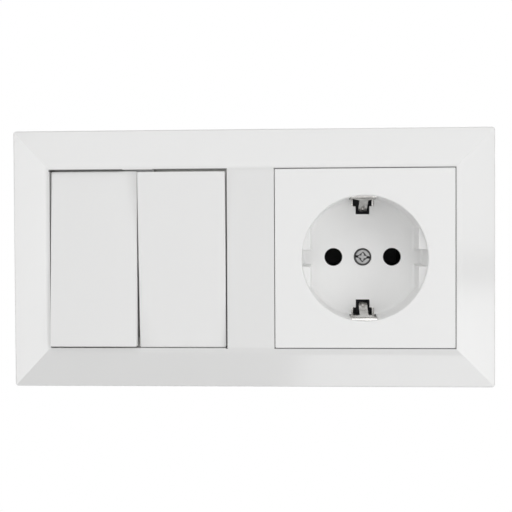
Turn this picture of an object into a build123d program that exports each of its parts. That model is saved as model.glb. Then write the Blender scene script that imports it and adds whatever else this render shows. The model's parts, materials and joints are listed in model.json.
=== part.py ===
"""Two-gang wall plate with a double rocker switch on the left and an earthed socket on the right.

The wall plane is Y = 0, the room lies towards -Y and Z points up. Heights are measured from the wall
plane towards the room, so the pieces inside the wall box have negative heights. Sizes are in mm.
"""
import os

from build123d import *

os.makedirs("parts", exist_ok=True)

# Cover frame
frame_lip = 5.35
frame_corner = 1.2
frame_wall = 2.0
rim_height = 4.0
rim_round = 0.6
crown_height = 9.0
crown_round = 11.5
window_size = 56.1
window_corner = 0.45
bevel_angle = 45.0
window_bevel = 0.15
land_width = 0.5
collar_wall = 1.3
collar_back = 2.6
tab_width = 9.2
tab_reach = 1.4
tab_back = 2.6
tab_thickness = 1.8
frame_rib = 1.0
frame_rib_back = 2.6
frame_rib_pitch = 36.0

# Fits
plate_gap = 0.15
seat_gap = 0.1
fit_gap = 0.05
free_gap = 0.3

# Support plates
box_screw_pitch = 60.0
box_screw_edge = 5.3
support_gap = 0.4
support_corner = 7.0
support_thickness = 1.2
bead_length = 12.0
bead_width = 2.4
bead_rise = 0.5
bead_spacing = 36.0
box_slot_width = 4.2
box_slot_length = 10.0

# Socket cover
face_height = 9.4
plate_corner = 0.4
plate_thickness = 2.0
plate_round = 0.2
skirt_thickness = 1.5
recess_diameter = 39.0
recess_depth = 17.5
recess_round = 0.5
floor_round = 1.2
cup_wall = 1.6
floor_thickness = 2.4
guide_width = 2.6
guide_drop = 3.0
guide_notch = 5.4
pin_pitch = 19.0
pin_hole_diameter = 5.6
earth_wide_width = 7.4
earth_wide_depth = 3.0
earth_narrow_width = 4.5
earth_narrow_depth = 5.6
earth_slot_width = 8.6
earth_slot_drop = 1.2

# Centre screw and nut
screw_shank_diameter = 3.0
screw_hole_diameter = 3.4
screw_head_diameter = 4.8
screw_head_height = 1.6
screw_recess_diameter = 5.8
screw_recess_depth = 1.2
screw_length = 8.0
screw_slot_width = 0.8
screw_slot_depth = 0.8
screw_edge_round = 0.3
screw_cross_length = 2.8
screw_cross_depth = 1.2
screw_turn = 6.0
nut_size = 5.5
nut_thickness = 2.4

# Sheet metal
sheet = 0.8
strap_width = 8.0
tongue_width = 2.7
tongue_tip_inset = 4.3
tongue_tip_depth = 1.0
strap_window_width = 6.2
earth_pocket_depth = 6.0
fold_drop = 3.6
fold_radius = 0.8
flare_drop = 1.6
groove_width = 1.0
groove_length = 7.0
groove_depth = 0.3
groove_rise = 5.5
pin_grip = 5.0
contact_width = 7.0
contact_depth = 16.8

# Terminals
terminal_screw_diameter = 3.0
terminal_head_diameter = 5.4
terminal_head_height = 1.6
terminal_slot = 0.8
clamp_size = 7.4
clamp_thickness = 1.0
wire_space = 2.4
terminal_window = 8.4
terminal_reach = 2.4
terminal_strip_width = 7.6
screw_end_reach = 1.6
screw_end_clear = 0.8
wire_entry_width = 5.0

# Bases and rivets
cup_clearance = 0.8
base_wall = 1.6
base_corner = 9.5
base_round = 1.5
base_draft = 1.0
claw_seat_width = 12.0
claw_seat_depth = 1.0
claw_seat_start = 3.0
panel_width = 18.0
panel_height = 12.0
panel_depth = 0.6
panel_corner = 1.5
socket_base_depth = 31.0
switch_base_depth = 23.0
rivet_diameter = 3.0
rivet_head_diameter = 5.2
rivet_head_height = 0.9
rivet_length = 9.0
rivet_edge = 2.56

# Rockers, toggles and plungers
rocker_split = 0.5
rocker_side_gap = 0.4
rocker_end_gap = 0.45
rocker_corner = 0.5
rocker_round = 0.25
inner_corner = 0.9
rocker_thickness = 1.6
rocker_skirt = 0.8
rocker_skirt_wall = 1.2
rocker_drop = 0.12
rocker_tilt = 3.6
rocker_height = 9.4
pivot_depth = 4.0
toggle_inset = 3.2
toggle_length = 26.0
toggle_plate = 1.4
barrel_radius = 2.2
trunnion_radius = 1.2
trunnion_length = 1.2
tube_radius = 3.2
tube_length = 10.0
bore_radius = 2.05
bore_start = 1.9
plunger_radius = 2.0
plunger_start = 7.0
plunger_shoulder = 12.6
plunger_tip = 15.0
plunger_tip_radius = 0.9
spring_wire = 0.25
spring_turns = 4.5
rib_length = 20.0

# Cradle
cradle_gap = 1.55
cradle_floor = 1.6
lug_radius = 2.0
lug_wall = 1.4
hook_width = 7.0
hook_wall = 1.5
hook_thickness = 0.5
stop_width = 4.0
tube_opening = 12.0

# Contact bridges
bridge_width = 6.0
bridge_length = 17.0
bridge_tilt = 5.0
bridge_clear = 0.15
contact_offset = 7.0
contact_radius = 1.4
contact_height = 0.9
contact_gap = 0.07
switch_floor = 14.5
chamber_wall = 2.7
chamber_length = 20.0
terminal_inset = 8.3

support_size = box_screw_pitch + 2 * box_screw_edge
gang_pitch = support_size + support_gap
frame_height = gang_pitch + 2 * frame_lip
frame_width = frame_height + gang_pitch
half_height = frame_height / 2
half_width = frame_width / 2
slope_run = (frame_height - window_size) / 2 - land_width
tab_front = tab_back + tab_thickness
recess_radius = recess_diameter / 2
cup_radius = recess_radius + cup_wall
guide_reach = recess_radius - guide_width
earth_wide_radius = recess_radius - earth_wide_depth
earth_narrow_radius = recess_radius - earth_narrow_depth
tongue_tip_radius = recess_radius - tongue_tip_inset
socket_base_bore = 2 * (cup_radius + cup_clearance)
base_size = socket_base_bore + 2 * base_wall
terminal_row = base_size / 2 - terminal_inset
chamber_width = base_size - 2 * chamber_wall
socket_rivet_offset = (socket_base_bore / 2 + rivet_edge) / 2**0.5
rocker_width = (window_size - rocker_split) / 2 - rocker_side_gap
rocker_length = window_size - 2 * rocker_end_gap
toggle_width = rocker_width - 2 * toggle_inset
trunnion_end = toggle_width / 2 + trunnion_length
cradle_size = window_size - 2 * cradle_gap

front = Plane.XZ
switch_front = Plane(origin=(-gang_pitch / 2, 0, 0), x_dir=(1, 0, 0), z_dir=(0, -1, 0))
socket_front = Plane(origin=(gang_pitch / 2, 0, 0), x_dir=(1, 0, 0), z_dir=(0, -1, 0))
socket_side = Plane.YZ.offset(gang_pitch / 2)

# Cover frame: a hollow moulding with mitred borders that roll over softly to two collared windows.
with BuildPart() as frame_hollow:
    with BuildSketch(Plane.YZ):
        with BuildLine():
            Polyline(
                (0, 0),
                (0, half_height - frame_wall),
                (-rim_height + frame_wall, half_height - frame_wall),
                (-crown_height + frame_wall, half_height - slope_run - frame_wall),
                (-crown_height + frame_wall, 0),
            )
            mirror(about=Plane.XZ)
        make_face()
    extrude(amount=half_width - frame_wall, both=True)
    with BuildSketch(Plane.XY):
        with BuildLine():
            Polyline(
                (0, 0),
                (half_width - frame_wall, 0),
                (half_width - frame_wall, -rim_height + frame_wall),
                (half_width - slope_run - frame_wall, -crown_height + frame_wall),
                (0, -crown_height + frame_wall),
            )
            mirror(about=Plane.YZ)
        make_face()
    extrude(amount=half_height - frame_wall, both=True, mode=Mode.INTERSECT)
    with BuildSketch(front.offset(frame_rib_back)):
        with GridLocations(gang_pitch, 0, 2, 1):
            with GridLocations(frame_rib_pitch, 0, 2, 1):
                Rectangle(frame_rib, frame_height)
        with GridLocations(0, frame_rib_pitch, 1, 2):
            Rectangle(frame_width, frame_rib)
    extrude(amount=crown_height, mode=Mode.SUBTRACT)

with BuildPart() as cover_frame:
    with BuildSketch(Plane.YZ) as side_outline:
        with BuildLine():
            Polyline((0, 0), (0, half_height), (-rim_height, half_height))
            Polyline(
                (-rim_height, half_height),
                (-crown_height, half_height - slope_run),
                (-crown_height, 0),
            )
            mirror(about=Plane.XZ)
        make_face()
        fillet(side_outline.vertices().group_by(Axis.X)[1], radius=rim_round)
        fillet(side_outline.vertices().group_by(Axis.X)[0], radius=crown_round)
    extrude(amount=half_width, both=True)
    with BuildSketch(Plane.XY) as end_outline:
        with BuildLine():
            Polyline((0, 0), (half_width, 0), (half_width, -rim_height))
            Polyline(
                (half_width, -rim_height),
                (half_width - slope_run, -crown_height),
                (0, -crown_height),
            )
            mirror(about=Plane.YZ)
        make_face()
        fillet(end_outline.vertices().group_by(Axis.Y)[1], radius=rim_round)
        fillet(end_outline.vertices().group_by(Axis.Y)[0], radius=crown_round)
    extrude(amount=half_height, both=True, mode=Mode.INTERSECT)
    with BuildSketch(front):
        RectangleRounded(frame_width, frame_height, frame_corner)
    extrude(amount=crown_height, mode=Mode.INTERSECT)
    add(frame_hollow.part, mode=Mode.SUBTRACT)
    with BuildSketch(front.offset(collar_back)):
        with GridLocations(gang_pitch, 0, 2, 1):
            Rectangle(window_size + 2 * collar_wall, window_size + 2 * collar_wall)
    extrude(amount=crown_height - frame_wall / 2 - collar_back)
    with BuildSketch(front):
        with GridLocations(gang_pitch, 0, 2, 1):
            RectangleRounded(window_size, window_size, window_corner)
    extrude(amount=crown_height, mode=Mode.SUBTRACT)
    with BuildSketch(front.offset(crown_height)):
        with GridLocations(gang_pitch, 0, 2, 1):
            RectangleRounded(
                window_size + 2 * window_bevel, window_size + 2 * window_bevel, window_corner + window_bevel
            )
    extrude(amount=-window_bevel, taper=bevel_angle, mode=Mode.SUBTRACT)
    with BuildSketch(front.offset(tab_back)):
        with GridLocations(gang_pitch, window_size - tab_reach + collar_wall / 2, 2, 2):
            Rectangle(tab_width, tab_reach + collar_wall / 2)
    extrude(amount=tab_thickness)
cover_frame.part.label = "cover_frame"

# Socket cover: square plate with the plug recess, its side guides, pin holes and earth openings.
plate_size = window_size - 2 * plate_gap
recess_floor = face_height - recess_depth
cup_back = recess_floor - floor_thickness
with BuildPart() as socket_cover:
    with BuildSketch(socket_front.offset(face_height)):
        RectangleRounded(plate_size, plate_size, plate_corner)
    extrude(amount=-plate_thickness)
    fillet(socket_cover.faces().sort_by(Axis.Y)[0].edges(), radius=plate_round)
    with BuildSketch(socket_front.offset(tab_front)):
        RectangleRounded(plate_size, plate_size, plate_corner)
        Rectangle(
            plate_size - 2 * skirt_thickness, plate_size - 2 * skirt_thickness, mode=Mode.SUBTRACT
        )
    extrude(amount=face_height - plate_thickness - tab_front)
    with BuildSketch(socket_front.offset(cup_back)):
        Circle(cup_radius)
    extrude(amount=face_height - plate_thickness - cup_back)
    with BuildSketch(socket_front.offset(face_height - guide_drop)):
        Circle(recess_radius)
    extrude(amount=guide_drop, mode=Mode.SUBTRACT)
    with BuildSketch(socket_front.offset(recess_floor)):
        Rectangle(2 * guide_reach, recess_diameter)
        Rectangle(recess_diameter, guide_notch)
        Circle(recess_radius, mode=Mode.INTERSECT)
    extrude(amount=recess_depth - guide_drop, mode=Mode.SUBTRACT)
    fillet(socket_cover.faces().sort_by(Axis.Y)[0].inner_wires()[0].edges(), radius=recess_round)
    flat_faces = socket_cover.faces().filter_by(Plane.XZ)
    fillet(flat_faces.sort_by(lambda f: abs(f.center().Y + recess_floor))[0].edges(), radius=floor_round)
    with Locations(socket_front.offset(recess_floor)):
        with GridLocations(pin_pitch, 0, 2, 1):
            Hole(pin_hole_diameter / 2, floor_thickness)
        CounterBoreHole(
            screw_hole_diameter / 2, screw_recess_diameter / 2, screw_recess_depth, floor_thickness
        )
    with BuildSketch(socket_front.offset(cup_back)):
        with Locations((0, earth_wide_radius)):
            Rectangle(earth_wide_width, cup_wall + recess_radius, align=(Align.CENTER, Align.MIN))
        with Locations((0, earth_narrow_radius)):
            Rectangle(earth_narrow_width, recess_radius, align=(Align.CENTER, Align.MIN))
        mirror(about=Plane.XZ)
    extrude(amount=floor_thickness + floor_round, mode=Mode.SUBTRACT)
    with BuildSketch(socket_front.offset(cup_back)):
        with GridLocations(0, 2 * recess_radius + cup_wall, 1, 2):
            Rectangle(earth_slot_width, 2 * cup_wall)
    extrude(amount=face_height - earth_slot_drop - cup_back, mode=Mode.SUBTRACT)
socket_cover.part.label = "socket_cover"

# Centre screw: cheese head with a slot and a cross, turned a little off level.
head_seat = recess_floor - screw_recess_depth
head_front = head_seat + screw_head_height
with BuildPart() as centre_screw:
    with BuildSketch(socket_front.offset(head_seat)):
        Circle(screw_head_diameter / 2)
    extrude(amount=screw_head_height)
    fillet(centre_screw.faces().sort_by(Axis.Y)[0].edges(), radius=screw_edge_round)
    with BuildSketch(socket_front.offset(head_seat)):
        Circle(screw_shank_diameter / 2)
    extrude(amount=-screw_length)
    chamfer(centre_screw.faces().sort_by(Axis.Y)[-1].edges(), length=screw_edge_round)
    with BuildSketch(socket_front.offset(head_front)):
        Rectangle(screw_head_diameter, screw_slot_width, rotation=screw_turn)
    extrude(amount=-screw_slot_depth, mode=Mode.SUBTRACT)
    with BuildSketch(socket_front.offset(head_front)):
        Rectangle(screw_cross_length, screw_slot_width, rotation=screw_turn)
        Rectangle(screw_slot_width, screw_cross_length, rotation=screw_turn)
    extrude(amount=-screw_cross_depth, mode=Mode.SUBTRACT)
centre_screw.part.label = "centre_screw"

# Earth strap: one sheet-metal bow whose folded ends are the sprung tongues in the recess.
arm_radius = recess_radius + cup_wall / 2 + sheet / 4
tongue_cut_start = tongue_tip_radius - 2 * sheet
strap_front = cup_back
strap_back = strap_front - sheet
fold_height = face_height - fold_drop - fold_radius
tip_height = recess_floor - tongue_tip_depth
tongue_rise = fold_height - tip_height
tongue_lean = arm_radius - 2 * fold_radius - tongue_tip_radius
tongue_reach = tongue_rise + fold_radius + sheet
earth_row = -terminal_row
strap_window_length = recess_radius - earth_narrow_radius
strap_window_pitch = recess_radius + earth_narrow_radius - 2 * free_gap
earth_leg = earth_row + clamp_size / 2
terminal_stack = terminal_reach + terminal_head_height + clamp_thickness + wire_space
socket_strip_back = terminal_stack - socket_base_depth
with BuildPart() as earth_strap:
    with BuildSketch(socket_side):
        with BuildLine():
            Line((-tip_height, tongue_tip_radius), (-fold_height, arm_radius - 2 * fold_radius))
            ThreePointArc(
                (-fold_height, arm_radius - 2 * fold_radius),
                (-fold_height - fold_radius, arm_radius - fold_radius),
                (-fold_height, arm_radius),
            )
            Polyline(
                (-fold_height, arm_radius),
                (-strap_front + sheet / 2, arm_radius),
                (-strap_front + sheet / 2, 0),
            )
            mirror(about=Plane.XZ)
            offset(amount=sheet / 2, side=Side.BOTH)
        make_face()
    extrude(amount=strap_width / 2, both=True)
    for side in (1, -1):
        with BuildSketch(Plane((gang_pitch / 2, 0, side * tongue_cut_start))):
            with Locations((0, -fold_height - fold_radius)):
                Rectangle(2 * strap_width, tongue_reach, align=(Align.CENTER, Align.MIN))
            with BuildLine(mode=Mode.PRIVATE) as outline:
                ThreePointArc(
                    (-tongue_width / 2, -tip_height - tongue_width / 2),
                    (0, -tip_height),
                    (tongue_width / 2, -tip_height - tongue_width / 2),
                )
                Polyline(
                    (tongue_width / 2, -tip_height - tongue_width / 2),
                    (tongue_width / 2, -fold_height + flare_drop),
                    (strap_width / 2, -fold_height - fold_radius),
                    (-strap_width / 2, -fold_height - fold_radius),
                    (-tongue_width / 2, -fold_height + flare_drop),
                    (-tongue_width / 2, -tip_height - tongue_width / 2),
                )
            make_face(outline.edges(), mode=Mode.SUBTRACT)
        extrude(amount=side * (arm_radius - fold_radius - tongue_cut_start), mode=Mode.SUBTRACT)
        tongue_face = Plane(
            origin=(
                gang_pitch / 2,
                -tip_height - groove_rise,
                side * (tongue_tip_radius + groove_rise * tongue_lean / tongue_rise),
            ),
            x_dir=(1, 0, 0),
            z_dir=(0, -tongue_lean, -side * tongue_rise),
        )
        with BuildSketch(tongue_face.offset(sheet / 2)):
            SlotOverall(groove_length, groove_width, rotation=90)
        extrude(amount=-groove_depth, mode=Mode.SUBTRACT)
    with BuildSketch(socket_front.offset(strap_front)):
        with Locations((0, earth_leg)):
            Rectangle(terminal_strip_width, sheet, align=(Align.CENTER, Align.MIN))
    extrude(amount=-(strap_front - socket_strip_back))
    with BuildSketch(socket_front.offset(socket_strip_back)):
        with Locations((0, earth_leg + sheet)):
            Rectangle(terminal_strip_width, terminal_strip_width, align=(Align.CENTER, Align.MAX))
        with Locations((0, earth_row)):
            Circle(terminal_screw_diameter / 2 + fit_gap, mode=Mode.SUBTRACT)
    extrude(amount=sheet)
    with BuildSketch(socket_front.offset(strap_front)):
        Circle(screw_hole_diameter / 2)
        with GridLocations(0, strap_window_pitch, 1, 2):
            Rectangle(strap_window_width, strap_window_length)
    extrude(amount=-sheet, mode=Mode.SUBTRACT)
earth_strap.part.label = "earth_strap"

# Centre nut: square, trapped between the strap and the base.
with BuildPart() as centre_nut:
    with BuildSketch(socket_front.offset(strap_back)):
        Rectangle(nut_size, nut_size)
        Circle(screw_shank_diameter / 2 + fit_gap, mode=Mode.SUBTRACT)
    extrude(amount=-nut_thickness)
    chamfer(centre_nut.edges().filter_by(Axis.Y), length=sheet / 2)
centre_nut.part.label = "centre_nut"

# Live and neutral contacts: sprung sleeves behind the pin holes, each with a terminal strip.
contact_front = strap_back - seat_gap
leaf_offset = pin_grip / 2 + sheet / 2
sleeve_inner = (pin_pitch - contact_width + sheet) / 2
sleeve_outer = (pin_pitch + contact_width - sheet) / 2
live_terminal = (pin_pitch / 2 + contact_width + sheet, leaf_offset + clamp_size / 2)
contact_pocket = 2 * (leaf_offset + sheet / 2 + free_gap)
with BuildPart() as live_contact:
    with BuildSketch(socket_front.offset(contact_front)):
        with BuildLine():
            Polyline(
                (sleeve_inner, leaf_offset),
                (sleeve_outer, leaf_offset),
                (sleeve_outer, -leaf_offset),
                (sleeve_inner, -leaf_offset),
            )
            offset(amount=sheet / 2, side=Side.BOTH)
        make_face()
    extrude(amount=-contact_depth)
    with BuildSketch(socket_front.offset(contact_front)):
        with Locations((pin_pitch / 2, 0)):
            Rectangle(pin_grip + sheet, pin_grip + sheet)
    extrude(amount=-sheet / 2, taper=bevel_angle, mode=Mode.SUBTRACT)
    with BuildSketch(socket_front.offset(socket_strip_back)):
        with Locations((pin_pitch / 2, pin_grip / 2)):
            Rectangle(contact_width + clamp_size / 2, sheet, align=(Align.MIN, Align.MIN))
    extrude(amount=clamp_size / 2)
    with BuildSketch(socket_front.offset(socket_strip_back)):
        with Locations((live_terminal[0] + clamp_size / 2, pin_grip / 2)):
            Rectangle(terminal_strip_width, terminal_strip_width, align=(Align.MAX, Align.MIN))
        with Locations(live_terminal):
            Circle(terminal_screw_diameter / 2 + fit_gap, mode=Mode.SUBTRACT)
    extrude(amount=sheet)
live_contact.part.label = "live_contact"

with BuildPart() as neutral_contact:
    mirror(live_contact.part, about=Plane.YZ.offset(gang_pitch / 2))
neutral_contact.part.label = "neutral_contact"

# Socket base: deep block with a bore for the recess cup and rear windows to the terminals.
socket_terminals = [live_terminal, (-live_terminal[0], live_terminal[1]), (0, earth_row)]
rivet_radius = rivet_diameter / 2
with BuildPart() as socket_base:
    with BuildSketch(socket_front):
        RectangleRounded(base_size, base_size, base_corner)
    extrude(amount=-socket_base_depth, taper=base_draft)
    fillet(socket_base.faces().sort_by(Axis.Y)[-1].edges(), radius=base_round)
    with BuildSketch(socket_front.offset(-claw_seat_start)):
        with GridLocations(base_size, 0, 2, 1):
            Rectangle(2 * claw_seat_depth, claw_seat_width)
    extrude(amount=-socket_base_depth, mode=Mode.SUBTRACT)
    with BuildSketch(socket_front.offset(-socket_base_depth)):
        RectangleRounded(panel_width, panel_height, panel_corner)
    extrude(amount=panel_depth, mode=Mode.SUBTRACT)
    with BuildSketch(socket_front):
        Circle(socket_base_bore / 2)
    extrude(amount=strap_back, mode=Mode.SUBTRACT)
    with BuildSketch(socket_front.offset(strap_back)):
        with GridLocations(pin_pitch, 0, 2, 1):
            Rectangle(contact_width + 2 * free_gap, contact_pocket)
    extrude(amount=-(contact_depth + 2 * seat_gap), mode=Mode.SUBTRACT)
    with BuildSketch(socket_front.offset(-socket_base_depth)):
        with Locations(*socket_terminals):
            Rectangle(terminal_window, terminal_window)
    extrude(
        amount=socket_base_depth + socket_strip_back + sheet + screw_end_reach + screw_end_clear,
        mode=Mode.SUBTRACT,
    )
    with BuildSketch(socket_front.offset(-socket_base_depth)):
        with Locations(*socket_terminals[:2]):
            Rectangle(wire_entry_width, base_size, align=(Align.CENTER, Align.MIN))
        with Locations(socket_terminals[2]):
            Rectangle(wire_entry_width, base_size, align=(Align.CENTER, Align.MAX))
    extrude(amount=socket_base_depth + socket_strip_back, mode=Mode.SUBTRACT)
    with BuildSketch(socket_front.offset(socket_strip_back - seat_gap)):
        Rectangle(2 * live_terminal[0] + terminal_window, contact_pocket)
        Rectangle(pin_pitch, contact_pocket, mode=Mode.SUBTRACT)
    extrude(amount=clamp_size / 2 + 2 * seat_gap, mode=Mode.SUBTRACT)
    with BuildSketch(socket_front.offset(strap_back)):
        with GridLocations(0, strap_window_pitch, 1, 2):
            Rectangle(strap_window_width, strap_window_length)
    extrude(amount=-earth_pocket_depth, mode=Mode.SUBTRACT)
    with BuildSketch(socket_front.offset(strap_back)):
        with Locations((0, earth_leg + sheet / 2)):
            Rectangle(terminal_window, sheet + 2 * free_gap)
        Rectangle(nut_size + 2 * seat_gap, nut_size + 2 * seat_gap)
    extrude(amount=-nut_thickness, mode=Mode.SUBTRACT)
    with BuildSketch(socket_front.offset(strap_back - nut_thickness)):
        with Locations((0, earth_leg + sheet / 2)):
            Rectangle(terminal_window, sheet + 2 * free_gap)
        Rectangle(nut_size - sheet, nut_size - sheet)
    extrude(amount=-(strap_back - nut_thickness - socket_strip_back), mode=Mode.SUBTRACT)
    with Locations(socket_front):
        with GridLocations(2 * socket_rivet_offset, 2 * socket_rivet_offset, 2, 2):
            Hole(rivet_radius + fit_gap, rivet_length + free_gap)
socket_base.part.label = "socket_base"

# Socket support plate with the slots for the wall-box screws.
with BuildPart() as socket_support_plate:
    with BuildSketch(socket_front):
        RectangleRounded(support_size, support_size, support_corner)
        Circle(socket_base_bore / 2, mode=Mode.SUBTRACT)
        with GridLocations(0, box_screw_pitch, 1, 2):
            SlotOverall(box_slot_length, box_slot_width, mode=Mode.SUBTRACT)
        with GridLocations(box_screw_pitch, 0, 2, 1):
            SlotOverall(box_slot_length, box_slot_width, rotation=90, mode=Mode.SUBTRACT)
        with GridLocations(2 * socket_rivet_offset, 2 * socket_rivet_offset, 2, 2):
            Circle(rivet_radius + fit_gap, mode=Mode.SUBTRACT)
    extrude(amount=support_thickness)
    for base, mode in ((socket_front.offset(support_thickness), Mode.ADD), (socket_front, Mode.SUBTRACT)):
        with BuildSketch(base):
            with GridLocations(bead_spacing, box_screw_pitch, 2, 2):
                SlotOverall(bead_length, bead_width)
            with GridLocations(box_screw_pitch, bead_spacing, 2, 2):
                SlotOverall(bead_length, bead_width, rotation=90)
        extrude(amount=bead_rise, taper=bevel_angle / 2, mode=mode)
socket_support_plate.part.label = "socket_support_plate"

with BuildPart() as socket_rivets:
    with BuildSketch(socket_front.offset(support_thickness)):
        with GridLocations(2 * socket_rivet_offset, 2 * socket_rivet_offset, 2, 2):
            Circle(rivet_radius)
    extrude(amount=-support_thickness - rivet_length)
    with BuildSketch(socket_front.offset(support_thickness)):
        with GridLocations(2 * socket_rivet_offset, 2 * socket_rivet_offset, 2, 2):
            Circle(rivet_head_diameter / 2)
    extrude(amount=rivet_head_height)
    fillet(
        socket_rivets.edges().group_by(Axis.Y)[0], radius=rivet_head_height - fit_gap
    )
socket_rivets.part.label = "socket_rivets"

# Wire clamps and terminal screws: the screws face the back and pull each clamp to its strip.
socket_clamp_front = socket_strip_back - wire_space
socket_head_front = socket_clamp_front - clamp_thickness
terminal_screw_end = sheet + wire_space + clamp_thickness + screw_end_reach
with BuildPart() as socket_wire_clamps:
    with BuildSketch(socket_front.offset(socket_clamp_front)):
        with Locations(*socket_terminals):
            Rectangle(clamp_size, clamp_size)
            Circle(terminal_screw_diameter / 2 + fit_gap, mode=Mode.SUBTRACT)
    extrude(amount=-clamp_thickness)
socket_wire_clamps.part.label = "socket_wire_clamps"

with BuildPart() as socket_terminal_screws:
    with BuildSketch(socket_front.offset(socket_head_front)):
        with Locations(*socket_terminals):
            Circle(terminal_head_diameter / 2)
    extrude(amount=-terminal_head_height)
    fillet(socket_terminal_screws.edges().group_by(Axis.Y)[-1], radius=terminal_slot / 2)
    with BuildSketch(socket_front.offset(socket_head_front)):
        with Locations(*socket_terminals):
            Circle(terminal_screw_diameter / 2)
    extrude(amount=terminal_screw_end)
    with BuildSketch(socket_front.offset(socket_head_front - terminal_head_height)):
        with Locations(*socket_terminals):
            Rectangle(terminal_head_diameter, terminal_slot)
    extrude(amount=terminal_slot, mode=Mode.SUBTRACT)
socket_terminal_screws.part.label = "socket_terminal_screws"

# Rockers: each face plate sits on its toggle and is shown tilted, the left with its top pressed in,
# the right with its bottom pressed in.
rocker_offset = (rocker_width + rocker_split) / 2
pivot_height = rocker_height - pivot_depth
left_x = -gang_pitch / 2 - rocker_offset
right_x = -gang_pitch / 2 + rocker_offset
left_axis = Plane(
    origin=(left_x, -pivot_height, 0), x_dir=(1, 0, 0), z_dir=(0, -1, 0)
).rotated((-rocker_tilt, 0, 0))
right_axis = Plane(
    origin=(right_x, -pivot_height, 0), x_dir=(1, 0, 0), z_dir=(0, -1, 0)
).rotated((rocker_tilt, 0, 0))
to_right = right_axis.location * left_axis.location.inverse()
with BuildPart() as left_rocker:
    with BuildSketch(left_axis.offset(pivot_depth)):
        with Locations((0, -rocker_drop)):
            RectangleRounded(rocker_width, rocker_length, rocker_corner)
    extrude(amount=-rocker_thickness - rocker_skirt)
    fillet(left_rocker.faces().sort_by(Axis.Y)[0].edges(), radius=rocker_round)
    with BuildSketch(left_axis.offset(pivot_depth - rocker_thickness)):
        with Locations((0, -rocker_drop)):
            Rectangle(
                rocker_width - 2 * rocker_skirt_wall, rocker_length - 2 * rocker_skirt_wall
            )
    extrude(amount=-rocker_skirt, mode=Mode.SUBTRACT)
    with BuildSketch(left_axis.offset(pivot_depth - rocker_thickness)):
        Rectangle(rocker_width, 2 * (lug_radius + free_gap))
    extrude(amount=-rocker_skirt, mode=Mode.SUBTRACT)
    with BuildSketch(left_axis.offset(pivot_depth - rocker_thickness)):
        with GridLocations(0, toggle_length + 2 * seat_gap + rocker_skirt_wall, 1, 2):
            Rectangle(rib_length, rocker_skirt_wall)
    extrude(amount=-toggle_plate)
left_rocker.part.label = "left_rocker"

with BuildPart() as right_rocker:
    with Locations(to_right):
        add(left_rocker.part)
right_rocker.part.label = "right_rocker"

# Toggles: a plate under the rocker, a barrel with two trunnions and a tube for the sprung plunger.
toggle_front = pivot_depth - rocker_thickness
left_cross = Plane(origin=left_axis.origin, z_dir=(1, 0, 0))
with BuildPart() as left_toggle:
    with BuildSketch(left_axis.offset(toggle_front)):
        RectangleRounded(toggle_width, toggle_length, inner_corner)
    extrude(amount=-toggle_plate)
    with BuildSketch(left_cross):
        Circle(barrel_radius)
    extrude(amount=toggle_width / 2, both=True)
    with BuildSketch(left_cross):
        Circle(trunnion_radius)
    extrude(amount=trunnion_end, both=True)
    with BuildSketch(left_axis):
        Circle(tube_radius)
    extrude(amount=-tube_length)
    with BuildSketch(left_axis.offset(-bore_start)):
        Circle(bore_radius)
    extrude(amount=-tube_length, mode=Mode.SUBTRACT)
left_toggle.part.label = "left_toggle"

with BuildPart() as right_toggle:
    with Locations(to_right):
        add(left_toggle.part)
right_toggle.part.label = "right_toggle"

# Plungers: round-nosed pins that press on the contact bridges.
left_section = left_axis.rotated((90, 0, 0))
left_tube_axis = Axis(left_axis.origin, left_axis.z_dir)
with BuildPart() as left_plunger:
    with BuildSketch(left_section):
        with BuildLine():
            Polyline(
                (0, -plunger_start),
                (plunger_radius, -plunger_start),
                (plunger_radius, -plunger_shoulder),
                (plunger_tip_radius, -plunger_tip + plunger_tip_radius),
            )
            RadiusArc(
                (plunger_tip_radius, -plunger_tip + plunger_tip_radius),
                (0, -plunger_tip),
                plunger_tip_radius,
            )
            Line((0, -plunger_tip), (0, -plunger_start))
        make_face()
    revolve(axis=left_tube_axis)
left_plunger.part.label = "left_plunger"

with BuildPart() as right_plunger:
    with Locations(to_right):
        add(left_plunger.part)
right_plunger.part.label = "right_plunger"

# Springs: coils between the bottom of each tube and its plunger.
spring_radius = plunger_radius - spring_wire - fit_gap
spring_start = bore_start + spring_wire + fit_gap
spring_height = plunger_start - spring_wire - fit_gap - spring_start
with BuildPart() as left_spring:
    with BuildLine() as coil:
        Helix(
            spring_height / spring_turns,
            spring_height,
            spring_radius,
            center=left_axis.offset(-spring_start - spring_height).origin,
            direction=left_axis.z_dir,
        )
    with BuildSketch(Plane(coil.line @ 0, z_dir=coil.line % 0)):
        RegularPolygon(spring_wire, 6)
    sweep(is_frenet=True)
left_spring.part.label = "left_spring"

with BuildPart() as right_spring:
    with Locations(to_right):
        add(left_spring.part)
right_spring.part.label = "right_spring"

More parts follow.
